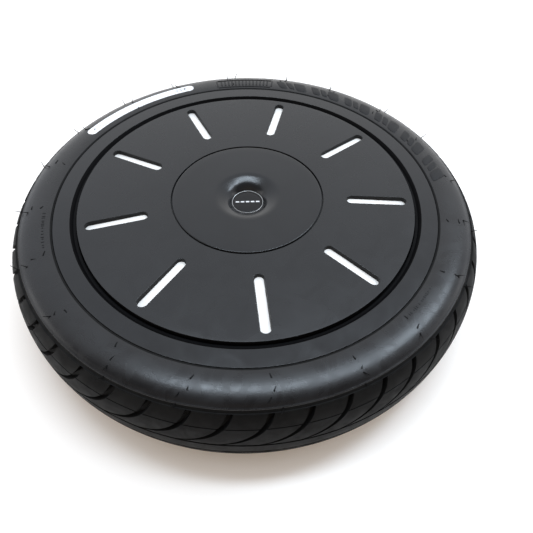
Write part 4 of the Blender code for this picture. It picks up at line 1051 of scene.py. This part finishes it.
def make_floor():
    """Plain pale floor that the tyre lies on, with a faint warm painted glow that lifts its shade."""
    finish = Finish("pale_floor_painted_glow", 0.75, 0.0, 0.2)
    finish.colour(finish.noise(3.0, 3.0), (0.950, 0.925, 0.895), (0.962, 0.942, 0.918))
    # The floor's own faint warm glow is painted light: it lifts and warms the shade round the tyre.
    finish.paint({"Emission Color": (1.0, 0.74, 0.50, 1.0), "Emission Strength": 0.09})
    bm = bmesh.new()
    bmesh.ops.create_grid(bm, x_segments=2, y_segments=2, size=6.0)
    floor = object_from("floor", bm, [finish.made])
    floor.location.z = -TYRE_FOOT * MM


def make_light(name, spot, aim, size, power, colour, turn):
    """A soft rectangular lamp that looks at a point, turned about its own axis by some degrees."""
    lamp = bpy.data.lights.new(name, "AREA")
    lamp.shape = "RECTANGLE"
    lamp.size, lamp.size_y = size
    lamp.energy = power
    lamp.color = colour
    made = bpy.data.objects.new(name, lamp)
    bpy.context.scene.collection.objects.link(made)
    made.location = spot
    made.rotation_euler = (Vector(aim) - Vector(spot)).to_track_quat("-Z", "Y").to_euler()
    made.rotation_euler.rotate_axis("Z", math.radians(turn))


def make_surroundings():
    """Pale surroundings behind and beside the wheel, dim and warm towards the viewer."""
    world = bpy.data.worlds.new("studio")
    world.use_nodes = True
    bpy.context.scene.world = world
    tree = world.node_tree
    place = tree.nodes.new("ShaderNodeTexCoord").outputs["Generated"]
    lean = add_node(tree, "ShaderNodeVectorMath", {0: place, 1: AWAY_FROM_VIEWER}, operation="DOT_PRODUCT")
    inputs = {"From Min": -1.0, "From Max": 1.0, "Value": lean.outputs["Value"]}
    ramp = add_node(tree, "ShaderNodeValToRGB", {"Fac": add_node(tree, "ShaderNodeMapRange", inputs).outputs["Result"]})
    first, last = ramp.color_ramp.elements
    first.color, last.color = (*SKY[0][1], 1.0), (*SKY[-1][1], 1.0)
    for spot, colour in SKY[1:-1]:
        ramp.color_ramp.elements.new(spot).color = (*colour, 1.0)
    feed(tree, tree.nodes["Background"], {"Color": ramp.outputs["Color"], "Strength": SKY_STRENGTH})


def make_studio():
    """Surroundings, a soft lamp overhead in two pieces and a soft fill on either side."""
    make_surroundings()
    for lamp in LAMPS:
        make_light(*lamp)


def make_camera():
    """The camera, above the near edge and looking down at the wheel."""
    data = bpy.data.cameras.new("camera")
    data.lens, data.sensor_width = LENS, 36.0
    data.clip_start, data.clip_end = 0.01, 50.0
    camera = bpy.data.objects.new("camera", data)
    bpy.context.scene.collection.objects.link(camera)
    camera.location = CAMERA_SPOT
    camera.rotation_euler = tuple(math.radians(angle) for angle in CAMERA_TURN)
    bpy.context.scene.camera = camera


def main():
    """Build every piece, then the studio."""
    make_camera()
    make_tyre()
    make_embossing()
    make_hairs()
    make_label()
    make_rim()
    make_slotted_cover()
    make_insert()
    make_middle_cover()
    make_badge()
    make_motor_cover()
    make_cover_screws()
    make_axle()
    make_gland()
    make_valve()
    dress_cad_nodes()
    make_floor()
    make_studio()
    bpy.context.scene.view_settings.view_transform = "Standard"


main()
